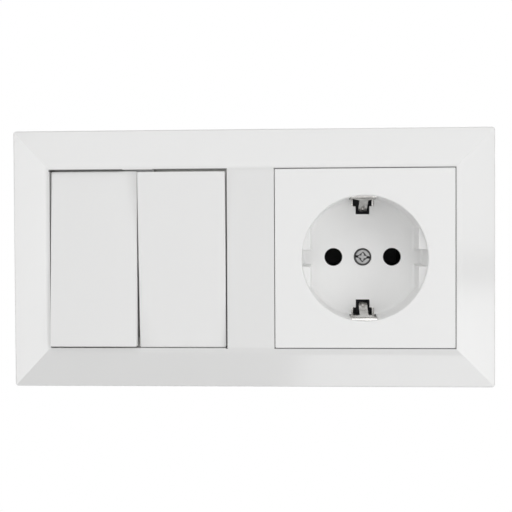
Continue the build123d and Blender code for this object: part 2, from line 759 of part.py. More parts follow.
# Cradle: floor plate with the toggle bearings, the stops and the hooks that hold the cover frame.
cradle_front = support_thickness + cradle_floor
lug_inner = toggle_width / 2 + free_gap
hook_top = window_size / 2 - tab_reach - seat_gap
stop_row = toggle_length / 2 - rocker_skirt_wall / 2
switch_rivets_at = [
    (-rocker_offset, -terminal_row - rivet_radius),
    (rocker_offset, -terminal_row - rivet_radius),
    (0, terminal_row),
]
with BuildPart() as switch_cradle:
    with BuildSketch(switch_front.offset(support_thickness)):
        RectangleRounded(cradle_size, cradle_size, inner_corner)
        with GridLocations(2 * rocker_offset, 0, 2, 1):
            Rectangle(2 * lug_inner, tube_opening, mode=Mode.SUBTRACT)
        with Locations(*switch_rivets_at):
            Circle(rivet_radius + fit_gap, mode=Mode.SUBTRACT)
    extrude(amount=cradle_floor)
    with BuildSketch(Plane.YZ.offset(-gang_pitch / 2)):
        with Locations((-pivot_height, 0)):
            Circle(lug_radius)
        with Locations((-support_thickness, 0)):
            Rectangle(pivot_height - support_thickness, 2 * lug_radius, align=(Align.MAX, Align.CENTER))
    extrude(amount=rocker_offset + lug_inner + lug_wall, both=True)
    with BuildSketch(switch_front.offset(support_thickness)):
        with GridLocations(2 * rocker_offset, 0, 2, 1):
            Rectangle(2 * lug_inner, tube_opening)
    extrude(amount=pivot_depth + pivot_height, mode=Mode.SUBTRACT)
    with BuildSketch(Plane.YZ.offset(-gang_pitch / 2)):
        with Locations((-pivot_height, 0)):
            Circle(trunnion_radius + fit_gap)
    extrude(amount=rocker_offset + trunnion_end + seat_gap, both=True, mode=Mode.SUBTRACT)
    with BuildSketch(Plane.YZ.offset(-gang_pitch / 2)):
        with Locations((-pivot_height, 0)):
            Circle(trunnion_radius + fit_gap)
    extrude(amount=rocker_offset - trunnion_end - seat_gap, both=True)
    with BuildSketch(switch_front.offset(cradle_front)):
        with GridLocations(2 * rocker_offset, 2 * stop_row, 2, 2):
            Rectangle(stop_width, rocker_skirt_wall)
    extrude(amount=pivot_height + toggle_front - toggle_plate - cradle_front - rocker_skirt - seat_gap)
    with BuildSketch(switch_front.offset(cradle_front)):
        with Locations((0, hook_top)):
            Rectangle(hook_width, hook_wall, align=(Align.CENTER, Align.MAX))
        mirror(about=Plane.XZ)
    extrude(amount=tab_front - cradle_front)
    with BuildSketch(switch_front.offset(tab_front)):
        with Locations((0, hook_top + tab_reach / 2)):
            Rectangle(hook_width, hook_wall + tab_reach / 2, align=(Align.CENTER, Align.MAX))
        mirror(about=Plane.XZ)
    extrude(amount=hook_thickness)
switch_cradle.part.label = "switch_cradle"

# Switch support plate, base and rivets.
with BuildPart() as switch_support_plate:
    with BuildSketch(switch_front):
        RectangleRounded(support_size, support_size, support_corner)
        RectangleRounded(chamber_width, tube_opening, inner_corner, mode=Mode.SUBTRACT)
        with GridLocations(0, box_screw_pitch, 1, 2):
            SlotOverall(box_slot_length, box_slot_width, mode=Mode.SUBTRACT)
        with GridLocations(box_screw_pitch, 0, 2, 1):
            SlotOverall(box_slot_length, box_slot_width, rotation=90, mode=Mode.SUBTRACT)
        with Locations(*switch_rivets_at):
            Circle(rivet_radius + fit_gap, mode=Mode.SUBTRACT)
    extrude(amount=support_thickness)
    for base, mode in ((switch_front.offset(support_thickness), Mode.ADD), (switch_front, Mode.SUBTRACT)):
        with BuildSketch(base):
            with GridLocations(bead_spacing, box_screw_pitch, 2, 2):
                SlotOverall(bead_length, bead_width)
            with GridLocations(box_screw_pitch, bead_spacing, 2, 2):
                SlotOverall(bead_length, bead_width, rotation=90)
        extrude(amount=bead_rise, taper=bevel_angle / 2, mode=mode)
switch_support_plate.part.label = "switch_support_plate"

switch_terminals = [(0, -terminal_row), (-rocker_offset, terminal_row), (rocker_offset, terminal_row)]
bay_size = terminal_window + 2 * free_gap
with BuildPart() as switch_base:
    with BuildSketch(switch_front):
        RectangleRounded(base_size, base_size, base_corner)
    extrude(amount=-switch_base_depth, taper=base_draft)
    fillet(switch_base.faces().sort_by(Axis.Y)[-1].edges(), radius=base_round)
    with BuildSketch(switch_front.offset(-claw_seat_start)):
        with GridLocations(base_size, 0, 2, 1):
            Rectangle(2 * claw_seat_depth, claw_seat_width)
    extrude(amount=-switch_base_depth, mode=Mode.SUBTRACT)
    with BuildSketch(switch_front.offset(-switch_base_depth)):
        RectangleRounded(panel_width, panel_height, panel_corner)
    extrude(amount=panel_depth, mode=Mode.SUBTRACT)
    with BuildSketch(switch_front):
        Rectangle(chamber_width, chamber_length)
        with Locations(*switch_terminals):
            Rectangle(bay_size, bay_size)
        with Locations((0, -chamber_length / 2)):
            Rectangle(bay_size, bay_size)
        with GridLocations(2 * rocker_offset, 0, 2, 1):
            with Locations((0, chamber_length / 2)):
                Rectangle(bay_size, bay_size)
    extrude(amount=-switch_floor, mode=Mode.SUBTRACT)
    with BuildSketch(switch_front.offset(-switch_base_depth)):
        with Locations(*switch_terminals):
            Rectangle(terminal_window, terminal_window)
    extrude(amount=switch_base_depth - switch_floor, mode=Mode.SUBTRACT)
    with BuildSketch(switch_front.offset(-switch_base_depth)):
        with Locations(switch_terminals[0]):
            Rectangle(wire_entry_width, base_size, align=(Align.CENTER, Align.MAX))
        with Locations(*switch_terminals[1:]):
            Rectangle(wire_entry_width, base_size, align=(Align.CENTER, Align.MIN))
    extrude(amount=switch_base_depth - switch_floor, mode=Mode.SUBTRACT)
    with Locations(switch_front):
        with Locations(*switch_rivets_at):
            Hole(rivet_radius + fit_gap, rivet_length + free_gap)
switch_base.part.label = "switch_base"

with BuildPart() as switch_rivets:
    with BuildSketch(switch_front.offset(cradle_front)):
        with Locations(*switch_rivets_at):
            Circle(rivet_radius)
    extrude(amount=-cradle_front - rivet_length)
    with BuildSketch(switch_front.offset(cradle_front)):
        with Locations(*switch_rivets_at):
            Circle(rivet_head_diameter / 2)
    extrude(amount=rivet_head_height)
    fillet(switch_rivets.edges().group_by(Axis.Y)[0], radius=rivet_head_height - fit_gap)
switch_rivets.part.label = "switch_rivets"

# Switch contacts: a common strip with two knife edges and two outgoing strips with fixed contacts.
strip_front = -switch_floor + sheet
bridge_face = pivot_height - plunger_tip - bridge_clear
bridge_pivot = bridge_face - sheet - fit_gap
knife_top = bridge_pivot - seat_gap
strip_end = terminal_row + terminal_strip_width / 2
with BuildPart() as common_terminal:
    with BuildSketch(switch_front.offset(-switch_floor)):
        Rectangle(2 * rocker_offset + bridge_width, bridge_width)
        with Locations((0, -strip_end)):
            Rectangle(terminal_strip_width, strip_end, align=(Align.CENTER, Align.MIN))
        with Locations(switch_terminals[0]):
            Circle(terminal_screw_diameter / 2 + fit_gap, mode=Mode.SUBTRACT)
    extrude(amount=sheet)
    with BuildSketch(switch_front.offset(strip_front)):
        with GridLocations(2 * rocker_offset, 0, 2, 1):
            Rectangle(bridge_width, sheet)
    extrude(amount=knife_top - strip_front)
common_terminal.part.label = "common_terminal"

with BuildPart() as left_terminal:
    with BuildSketch(switch_front.offset(-switch_floor)):
        with Locations((-rocker_offset, strip_end)):
            Rectangle(terminal_strip_width, strip_end - bridge_width, align=(Align.CENTER, Align.MAX))
        with Locations(switch_terminals[1]):
            Circle(terminal_screw_diameter / 2 + fit_gap, mode=Mode.SUBTRACT)
    extrude(amount=sheet)
left_terminal.part.label = "left_terminal"

with BuildPart() as right_terminal:
    mirror(left_terminal.part, about=Plane.YZ.offset(-gang_pitch / 2))
right_terminal.part.label = "right_terminal"

# Contact bridges: strips that see-saw on the knife edges, each with one moving contact.
left_bridge_axis = Plane(
    origin=(left_x, -bridge_pivot, 0), x_dir=(1, 0, 0), z_dir=(0, -1, 0)
).rotated((bridge_tilt, 0, 0))
right_bridge_axis = Plane(
    origin=(right_x, -bridge_pivot, 0), x_dir=(1, 0, 0), z_dir=(0, -1, 0)
).rotated((-bridge_tilt, 0, 0))
to_right_bridge = right_bridge_axis.location * left_bridge_axis.location.inverse()
with BuildPart() as left_contact_bridge:
    with BuildSketch(left_bridge_axis.offset(fit_gap)):
        RectangleRounded(bridge_width, bridge_length, inner_corner)
    extrude(amount=sheet)
left_contact_bridge.part.label = "left_contact_bridge"

with BuildPart() as right_contact_bridge:
    with Locations(to_right_bridge):
        add(left_contact_bridge.part)
right_contact_bridge.part.label = "right_contact_bridge"

with BuildPart() as left_moving_contact:
    with BuildSketch(left_bridge_axis.offset(fit_gap)):
        with Locations((0, contact_offset)):
            Circle(contact_radius)
    extrude(amount=-contact_height)
left_moving_contact.part.label = "left_moving_contact"

with BuildPart() as right_moving_contact:
    with Locations(to_right_bridge):
        add(left_moving_contact.part)
right_moving_contact.part.label = "right_moving_contact"

moving_low = right_moving_contact.part.bounding_box().max.Y
with BuildPart() as fixed_contacts:
    with BuildSketch(switch_front.offset(strip_front)):
        with GridLocations(2 * rocker_offset, 0, 2, 1):
            with Locations((0, contact_offset)):
                Circle(contact_radius)
    extrude(amount=-moving_low - contact_gap - strip_front)
fixed_contacts.part.label = "fixed_contacts"

switch_clamp_front = -switch_floor - wire_space
switch_head_front = switch_clamp_front - clamp_thickness
with BuildPart() as switch_wire_clamps:
    with BuildSketch(switch_front.offset(switch_clamp_front)):
        with Locations(*switch_terminals):
            Rectangle(clamp_size, clamp_size)
            Circle(terminal_screw_diameter / 2 + fit_gap, mode=Mode.SUBTRACT)
    extrude(amount=-clamp_thickness)
switch_wire_clamps.part.label = "switch_wire_clamps"

with BuildPart() as switch_terminal_screws:
    with BuildSketch(switch_front.offset(switch_head_front)):
        with Locations(*switch_terminals):
            Circle(terminal_head_diameter / 2)
    extrude(amount=-terminal_head_height)
    fillet(switch_terminal_screws.edges().group_by(Axis.Y)[-1], radius=terminal_slot / 2)
    with BuildSketch(switch_front.offset(switch_head_front)):
        with Locations(*switch_terminals):
            Circle(terminal_screw_diameter / 2)
    extrude(amount=terminal_screw_end)
    with BuildSketch(switch_front.offset(switch_head_front - terminal_head_height)):
        with Locations(*switch_terminals):
            Rectangle(terminal_head_diameter, terminal_slot)
    extrude(amount=terminal_slot, mode=Mode.SUBTRACT)
switch_terminal_screws.part.label = "switch_terminal_screws"

pieces = [
    cover_frame,
    socket_cover,
    centre_screw,
    earth_strap,
    centre_nut,
    live_contact,
    neutral_contact,
    socket_base,
    socket_support_plate,
    socket_rivets,
    socket_wire_clamps,
    socket_terminal_screws,
    left_rocker,
    right_rocker,
    left_toggle,
    right_toggle,
    left_plunger,
    right_plunger,
    left_spring,
    right_spring,
    switch_cradle,
    switch_support_plate,
    switch_base,
    switch_rivets,
    common_terminal,
    left_terminal,
    right_terminal,
    left_contact_bridge,
    right_contact_bridge,
    left_moving_contact,
    right_moving_contact,
    fixed_contacts,
    switch_wire_clamps,
    switch_terminal_screws,
]
for piece in pieces:
    export_step(piece.part, f"parts/{piece.part.label}.step")
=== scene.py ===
"""The looks of a two-gang wall frame with a double rocker switch and an earthed socket outlet."""
import json
import logging
import math
from collections.abc import Callable, Sequence
from dataclasses import dataclass
from enum import Enum

import bmesh
import bpy
from mathutils import Matrix, Vector


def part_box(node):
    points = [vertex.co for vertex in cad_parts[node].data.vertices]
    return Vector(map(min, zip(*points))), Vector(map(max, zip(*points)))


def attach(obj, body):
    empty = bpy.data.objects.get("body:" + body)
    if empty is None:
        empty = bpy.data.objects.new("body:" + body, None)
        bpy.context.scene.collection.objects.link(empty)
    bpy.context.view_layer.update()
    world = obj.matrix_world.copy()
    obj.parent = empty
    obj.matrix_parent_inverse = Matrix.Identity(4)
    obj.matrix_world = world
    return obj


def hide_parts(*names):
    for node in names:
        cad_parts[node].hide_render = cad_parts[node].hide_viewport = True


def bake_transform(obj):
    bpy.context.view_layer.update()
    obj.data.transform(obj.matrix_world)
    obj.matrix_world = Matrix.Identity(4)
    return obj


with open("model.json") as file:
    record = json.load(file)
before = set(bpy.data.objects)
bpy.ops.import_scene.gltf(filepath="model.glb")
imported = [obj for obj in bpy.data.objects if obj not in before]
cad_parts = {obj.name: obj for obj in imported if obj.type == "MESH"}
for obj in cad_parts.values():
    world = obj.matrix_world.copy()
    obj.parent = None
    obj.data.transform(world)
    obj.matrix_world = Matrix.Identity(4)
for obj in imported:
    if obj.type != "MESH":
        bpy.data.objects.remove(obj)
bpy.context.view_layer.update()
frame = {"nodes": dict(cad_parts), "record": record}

Colour = tuple[float, float, float]
Point = tuple[float, float, float]
Socket = bpy.types.NodeSocket
EdgeRule = Callable[[bmesh.types.BMEdge], bool]
Carver = Callable[[bpy.types.Object], None]

LOG = logging.getLogger("scene")
MM = 0.001
ORIGIN: Point = (0.0, 0.0, 0.0)
SIDES = ("left", "right")

MOUNTS = {row["name"]: row for row in frame["record"]["mounts"]}
JOINTS = {row["name"]: row for row in frame["record"]["behaviour"]["joints"]}
BODIES = frame["record"]["behaviour"]["bodies"]
BODY_NAMES = {node: body for body, nodes in BODIES.items() for node in nodes}
SLOT_NAMES = {row["node"]: row["material_slot"] for row in frame["record"]["subparts"]}

GANG_MM = MOUNTS["box_screws"]["dims"]["spacing_x_mm"] / 2
PIN_MM = MOUNTS["live_pin_hole"]["pos_m"][0] / MM - GANG_MM
TERMINAL_Z_MM = 15.2
SIDE_TERMINAL_X_MM = 17.3
SIDE_TERMINAL_Z_MM = 6.6


def add_object(name: str, data: bpy.types.ID) -> bpy.types.Object:
    """Adds an object to the scene.

    Args:
        name: The object's name.
        data: Its mesh, lamp or camera.

    Returns:
        The object, at the origin.
    """
    obj = bpy.data.objects.new(name, data)
    bpy.context.scene.collection.objects.link(obj)
    return obj


def bake(obj: bpy.types.Object) -> None:
    """Turns an object's modifiers into a plain mesh and removes them.

    Args:
        obj: The object to bake.
    """
    graph = bpy.context.evaluated_depsgraph_get()
    mesh = bpy.data.meshes.new_from_object(obj.evaluated_get(graph), depsgraph=graph)
    obj.modifiers.clear()
    obj.data = mesh
    mesh.name = obj.name


def soften(
    mesh: bpy.types.Mesh, crease_deg: float, merge_mm: float, keep_sharp: EdgeRule | None = None
) -> None:
    """Merges a mesh's doubled points and shades it smooth up to its creases.

    Args:
        mesh: The mesh to shade.
        crease_deg: Edges that bend more than this stay sharp.
        merge_mm: Points closer than this are merged.
        keep_sharp: Tells which further edges stay sharp.
    """
    shape = bmesh.new()
    shape.from_mesh(mesh)
    bmesh.ops.remove_doubles(shape, verts=shape.verts, dist=merge_mm * MM)
    limit = math.radians(crease_deg)
    for face in shape.faces:
        face.smooth = True
    for edge in shape.edges:
        edge.smooth = len(edge.link_faces) == 2 and edge.calc_face_angle(math.pi) < limit
        if edge.smooth and keep_sharp is not None:
            edge.smooth = not keep_sharp(edge)
    shape.to_mesh(mesh)
    shape.free()
    if mesh.has_custom_normals:
        mesh.attributes.remove(mesh.attributes["custom_normal"])


def add_sum(
    tree: bpy.types.NodeTree, operation: str, first: Socket, second: Socket | float = 0.0
) -> Socket:
    """Adds a sum on one or two numbers to a node tree.

    Args:
        tree: The node tree.
        operation: The operation's name.
        first: The first number's socket.
        second: The second number or its socket.

    Returns:
        The result socket.
    """
    node = tree.nodes.new("ShaderNodeMath")
    node.operation = operation
    tree.links.new(first, node.inputs[0])
    if isinstance(second, Socket):
        tree.links.new(second, node.inputs[1])
    else:
        node.inputs[1].default_value = second
    return node.outputs[0]


def seen_ray(tree: bpy.types.NodeTree) -> Socket:
    """Builds a factor that is 1 for camera, glossy and transmission rays.

    Args:
        tree: The node tree to build in.

    Returns:
        The factor socket.
    """
    path = tree.nodes.new("ShaderNodeLightPath")
    total: Socket = path.outputs["Is Camera Ray"]
    for name in ("Is Glossy Ray", "Is Transmission Ray"):
        total = add_sum(tree, "MAXIMUM", total, path.outputs[name])
    return total


class Body(Enum):
    """The rigid bodies of the part that pieces ride on."""

    FIXED = "fixed"
    LEFT_ROCKER = "left_rocker"
    RIGHT_ROCKER = "right_rocker"
    LEFT_PLUNGER = "left_plunger"
    RIGHT_PLUNGER = "right_plunger"
    LEFT_BRIDGE = "left_bridge"
    RIGHT_BRIDGE = "right_bridge"


class ClampFace(Enum):
    """The faces of the wire clamps, by their corner in the node's box."""

    FRONT = 0
    BACK = 1


@dataclass(frozen=True)
class Noise:
    """A noise pattern: scale per metre, octaves and squeeze along each axis."""

    scale: float
    octaves: float
    squeeze: Point = (1.0, 1.0, 1.0)


EVEN_GRAIN = Noise(900.0, 4.0)
LEVEL_STREAKS = Noise(900.0, 4.0, (1.0, 1.0, 12.0))
UPRIGHT_STREAKS = Noise(900.0, 4.0, (12.0, 1.0, 1.0))


class Sheet:
    """A material's node tree with short calls to add and link nodes."""

    def __init__(self, name: str) -> None:
        """Makes an empty material with a Principled shader.

        Args:
            name: The material's name.
        """
        self.material = bpy.data.materials.new(name)
        self.material.use_nodes = True
        self.tree = self.material.node_tree
        self.shader = self.tree.nodes["Principled BSDF"]

    def add(self, kind: str, **values: object) -> bpy.types.Node:
        """Adds a node and sets its sockets and properties.

        Args:
            kind: The node's type name.
            **values: Socket names with underscores for spaces, or property names.

        Returns:
            The new node.
        """
        node = self.tree.nodes.new(kind)
        for key, value in values.items():
            socket = node.inputs.get(key.replace("_", " "))
            if socket is not None:
                socket.default_value = value
            else:
                setattr(node, key, value)
        return node

    def link(self, source: Socket, target: Socket) -> None:
        """Links an output socket to an input socket."""
        self.tree.links.new(source, target)

    def maths(self, operation: str, first: Socket, second: Socket | float = 0.0) -> Socket:
        """Adds a sum on one or two numbers and gives its result socket."""
        return add_sum(self.tree, operation, first, second)

    def place(self) -> tuple[Socket, Socket, Socket]:
        """Gives the object coordinates.

        Returns:
            The X, Y and Z sockets, in metres.
        """
        coords = self.add("ShaderNodeTexCoord")
        parts = self.add("ShaderNodeSeparateXYZ")
        self.link(coords.outputs["Object"], parts.inputs["Vector"])
        return parts.outputs["X"], parts.outputs["Y"], parts.outputs["Z"]

    def noise(self, noise: Noise) -> Socket:
        """Adds a noise pattern on object coordinates.

        Args:
            noise: The pattern.

        Returns:
            The noise factor socket.
        """
        coords = self.add("ShaderNodeTexCoord")
        mapping = self.add("ShaderNodeMapping", Scale=noise.squeeze)
        pattern = self.add("ShaderNodeTexNoise", Scale=noise.scale, Detail=noise.octaves)
        self.link(coords.outputs["Object"], mapping.inputs["Vector"])
        self.link(mapping.outputs["Vector"], pattern.inputs["Vector"])
        return pattern.outputs["Fac"]

    def ramp(self, factor: Socket, low: float, high: float) -> Socket:
        """Maps a 0 to 1 factor to the range from low to high.

        Args:
            factor: The socket to map.
            low: Result at 0.
            high: Result at 1.

        Returns:
            The mapped value socket.
        """
        node = self.add("ShaderNodeMapRange", To_Min=low, To_Max=high)
        self.link(factor, node.inputs["Value"])
        return node.outputs["Result"]

    def fade(self, value: Socket, start_mm: float, end_mm: float, low: float, high: float) -> Socket:
        """Fades softly from one number to another over a stretch of a length.

        Args:
            value: The length's socket, in metres.
            start_mm: Where the fade starts.
            end_mm: Where it ends.
            low: Result before the fade.
            high: Result after it.

        Returns:
            The faded number's socket.
        """
        node = self.add(
            "ShaderNodeMapRange", interpolation_type="SMOOTHSTEP",
            From_Min=start_mm * MM, From_Max=end_mm * MM, To_Min=low, To_Max=high,
        )
        self.link(value, node.inputs["Value"])
        return node.outputs["Result"]

    def apart(self, value: Socket, other_mm: float) -> Socket:
        """Measures how far a length, in metres, is from a given one."""
        return self.maths("ABSOLUTE", self.maths("SUBTRACT", value, other_mm * MM))

    def reach(self, first: Socket, second: Socket) -> Socket:
        """Measures the distance from an axis.

        Args:
            first: Distance along one direction across the axis.
            second: Distance along the other.

        Returns:
            The distance's socket.
        """
        squares = [self.maths("POWER", side, 2.0) for side in (first, second)]
        return self.maths("SQRT", self.maths("ADD", *squares))

    def blend(self, factor: Socket, first: Colour, second: Colour) -> Socket:
        """Blends two colours by a factor.

        Args:
            factor: The blend factor.
            first: Colour at 0.
            second: Colour at 1.

        Returns:
            The blended colour socket.
        """
        node = self.add("ShaderNodeMix", data_type="RGBA")
        ends = [socket for socket in node.inputs if socket.type == "RGBA"]
        for end, colour in zip(ends, (first, second)):
            end.default_value = (*colour, 1.0)
        self.link(factor, node.inputs["Factor"])
        return next(socket for socket in node.outputs if socket.type == "RGBA")

    def dimmed(self, colour: Socket, factor: Socket) -> Socket:
        """Multiplies a colour by a number.

        Args:
            colour: The colour socket.
            factor: The number's socket.

        Returns:
            The dimmed colour socket.
        """
        node = self.add("ShaderNodeVectorMath", operation="SCALE")
        self.link(colour, node.inputs[0])
        self.link(factor, node.inputs["Scale"])
        return node.outputs[0]

    def paint(self, colour: Socket, shade: Socket | None) -> None:
        """Gives the shader its colour.

        Args:
            colour: The colour.
            shade: A factor that dims the colour, or None.
        """
        shown = colour if shade is None else self.dimmed(colour, shade)
        self.link(shown, self.shader.inputs["Base Color"])

    def roughen(self, pattern: Socket, roughness: float, spread: float) -> None:
        """Lets the shader's roughness wander with a pattern.

        Args:
            pattern: A factor from 0 to 1.
            roughness: The middle roughness.
            spread: The share of it by which it wanders either way.
        """
        wandering = self.ramp(pattern, roughness * (1 - spread), roughness * (1 + spread))
        self.link(wandering, self.shader.inputs["Roughness"])

    def bump(self, height: Socket, strength: float, depth_mm: float) -> None:
        """Adds a bump to the shader's normal.

        Args:
            height: The height socket.
            strength: Bump strength.
            depth_mm: Bump depth.
        """
        node = self.add("ShaderNodeBump", Strength=strength, Distance=depth_mm * MM)
        self.link(height, node.inputs["Height"])
        self.link(node.outputs["Normal"], self.shader.inputs["Normal"])


class GrowTree:
    """A Geometry Nodes tree whose named inputs hold the sizes of what repeats or follows a path."""

    def __init__(self, name: str) -> None:
        """Makes an empty tree that takes points.

        Args:
            name: The tree's name.
        """
        self.tree = bpy.data.node_groups.new(name, "GeometryNodeTree")
        self.tree.is_modifier = True
        for label, way in (("Points", "INPUT"), ("Geometry", "OUTPUT")):
            self.tree.interface.new_socket(name=label, in_out=way, socket_type="NodeSocketGeometry")
        self.entry = self.tree.nodes.new("NodeGroupInput")
        self.values: dict[str, float | int] = {}

    @property
    def points(self) -> Socket:
        """The socket of the points that the tree grows on."""
        return self.entry.outputs["Points"]

    def number(self, name: str, value: float | int, kind: str = "NodeSocketFloat") -> Socket:
        """Adds a named number.

        Args:
            name: The input's name.
            value: Its value.
            kind: The type name of its socket.

        Returns:
            The socket that gives the number.
        """
        item = self.tree.interface.new_socket(name=name, in_out="INPUT", socket_type=kind)
        self.values[item.identifier] = value
        return self.entry.outputs[name]

    def size(self, name: str, value_mm: float) -> Socket:
        """Adds a named length and gives its socket, in metres."""
        return self.number(name, value_mm * MM)

    def count(self, name: str, value: int) -> Socket:
        """Adds a named whole number and gives its socket."""
        return self.number(name, value, "NodeSocketInt")

    def add(self, kind: str, **inputs: object) -> Socket:
        """Adds a node, sets or links its inputs and gives its first output.

        Args:
            kind: The node's type name.
            **inputs: Sockets to link or values to set, by input name with underscores for spaces.

        Returns:
            The node's first output socket.
        """
        node = self.tree.nodes.new(kind)
        for key, value in inputs.items():
            socket = node.inputs[key.replace("_", " ")]
            for one in value if isinstance(value, list) else [value]:
                if isinstance(one, Socket):
                    self.tree.links.new(one, socket)
                else:
                    socket.default_value = one
        return node.outputs[0]

    def maths(self, operation: str, first: Socket, second: Socket | float) -> Socket:
        """Adds a sum on two numbers and gives its result socket."""
        return add_sum(self.tree, operation, first, second)

    def vector(self, **parts: Socket) -> Socket:
        """Joins X, Y and Z, as far as they are given, to a vector."""
        return self.add("ShaderNodeCombineXYZ", **parts)

    def moved(self, shape: Socket, **offset: Socket) -> Socket:
        """Shifts a shape along X, Y or Z and gives its socket."""
        shift = self.vector(**offset)
        return self.add("GeometryNodeTransform", Geometry=shape, Translation=shift)

    def swept(self, path: Socket, profile: Socket) -> Socket:
        """Sweeps a closed profile along a path and closes the ends."""
        return self.add("GeometryNodeCurveToMesh", Curve=path, Profile_Curve=profile, Fill_Caps=True)

    def repeated(self, points: Socket, shape: Socket) -> Socket:
        """Sets a copy of a shape on each point."""
        return self.add("GeometryNodeInstanceOnPoints", Points=points, Instance=shape)

    def cut(self, shape: Socket, blade: Socket) -> Socket:
        """Cuts one closed shape out of another.

        Args:
            shape: The shape that is cut.
            blade: The shape that is taken away.

        Returns:
            The cut shape's socket.
        """
        node = self.tree.nodes.new("GeometryNodeMeshBoolean")
        node.operation = "DIFFERENCE"
        node.solver = "EXACT"
        self.tree.links.new(shape, node.inputs["Mesh 1"])
        self.tree.links.new(blade, node.inputs["Mesh 2"])
        return node.outputs["Mesh"]

    def grow(
        self, name: str, shape: Socket, material: bpy.types.Material, points_mm: Sequence[Point]
    ) -> bpy.types.Object:
        """Ends the tree, grows it on points and turns the result into a plain mesh.

        Args:
            name: The new piece's name.
            shape: The finished shape's socket.
            material: The piece's material.
            points_mm: The points to grow on.

        Returns:
            The piece, with no modifier left.
        """
        real = self.add("GeometryNodeRealizeInstances", Geometry=shape)
        done = self.add("GeometryNodeSetMaterial", Geometry=real, Material=material)
        self.tree.links.new(done, self.tree.nodes.new("NodeGroupOutput").inputs[0])
        mesh = bpy.data.meshes.new(name)
        mesh.from_pydata([tuple(a * MM for a in point) for point in points_mm], [], [])
        obj = add_object(name, mesh)
        modifier = obj.modifiers.new("grow", "NODES")
        modifier.node_group = self.tree
        for identifier, value in self.values.items():
            modifier[identifier] = value
        bake(obj)
        return obj


@dataclass(frozen=True)
class PinWay:
    """The way of the two plug pins into the socket, where no light comes back out; shade is painted there.
    """

    radius_mm: float = 2.86
    edge_mm: float = 0.1
    mouth_y_mm: float = 10.6
    spread: float = 0.1
    end_y_mm: float = 29.6
    end_fade_mm: float = 0.4
    dark: float = 0.02

    def shade(self, sheet: Sheet) -> Socket:
        """Paints shade on what lies in the pins' way.

        Args:
            sheet: The material's node tree.

        Returns:
            A factor for the colour: painted shade in the pins' way and 1 elsewhere.
        """
        x, y, z = sheet.place()
        aside = sheet.maths("SUBTRACT", sheet.apart(x, GANG_MM), PIN_MM * MM)
        depth = sheet.maths("MAXIMUM", sheet.maths("SUBTRACT", y, self.mouth_y_mm * MM), 0.0)
        widening = sheet.maths("MULTIPLY", depth, self.spread)
        off = sheet.maths("SUBTRACT", sheet.reach(aside, z), widening)
        # Painted shade: the bore, its rim and what lies behind it are darkened.
        beside = sheet.fade(off, self.radius_mm, self.radius_mm + self.edge_mm, self.dark, 1.0)
        beyond = sheet.fade(y, self.end_y_mm, self.end_y_mm + self.end_fade_mm, 0.0, 1.0)
        return sheet.maths("MAXIMUM", beside, beyond)


PIN_WAY = PinWay()


@dataclass(frozen=True)
class MouldedPlastic:
    """A moulded plastic with a faint mottle, a roughness that wanders and a fine mould grain."""

    name: str
    colour: Colour
    shade: Colour
    roughness: float
    mottle: Noise = Noise(60.0, 4.0)
    wander: Noise = Noise(180.0, 5.0)
    wander_spread: float = 0.15
    grain: Noise = Noise(2200.0, 2.0)
    grain_strength: float = 0.25
    grain_depth_mm: float = 0.004
    specular: float = 0.5
    # Whether shade is painted in the plug pins' way.
    pins: bool = False

    @property
    def slot(self) -> str:
        """The record's material slot."""
        return self.name

    def colour_of(self, sheet: Sheet) -> Socket:
        """Builds the faintly mottled colour."""
        return sheet.blend(sheet.noise(self.mottle), self.shade, self.colour)

    def material(self) -> bpy.types.Material:
        """Builds the node material.

        Returns:
            The finished material.
        """
        sheet = Sheet(self.name)
        sheet.paint(self.colour_of(sheet), PIN_WAY.shade(sheet) if self.pins else None)
        sheet.roughen(sheet.noise(self.wander), self.roughness, self.wander_spread)
        sheet.shader.inputs["Specular IOR Level"].default_value = self.specular
        sheet.bump(sheet.noise(self.grain), self.grain_strength, self.grain_depth_mm)
        return sheet.material


@dataclass(frozen=True)
class BareMetal:
    """A metal sheet or turned part with drawing streaks and tarnish patches."""

    name: str
    colour: Colour
    tarnish: Colour
    roughness: float
    streaks: Noise = LEVEL_STREAKS
    streak_spread: float = 0.3
    streak_strength: float = 0.35
    streak_depth_mm: float = 0.006
    patches: Noise = Noise(240.0, 6.0)
    patch_low: float = -0.4
    patch_high: float = 1.2
    # Whether shade is painted in the plug pins' way.
    pins: bool = False

    @property
    def slot(self) -> str:
        """The record's material slot."""
        return self.name

    def colour_of(self, sheet: Sheet) -> Socket:
        """Builds the metal's colour with its tarnish patches."""
        patches = sheet.ramp(sheet.noise(self.patches), self.patch_low, self.patch_high)
        return sheet.blend(patches, self.colour, self.tarnish)

    def material(self) -> bpy.types.Material:
        """Builds the node material.

        Returns:
            The finished material.
        """
        sheet = Sheet(self.name)
        sheet.shader.inputs["Metallic"].default_value = 1.0
        sheet.paint(self.colour_of(sheet), PIN_WAY.shade(sheet) if self.pins else None)
        lines = sheet.noise(self.streaks)
        sheet.roughen(lines, self.roughness, self.streak_spread)
        sheet.bump(lines, self.streak_strength, self.streak_depth_mm)
        return sheet.material


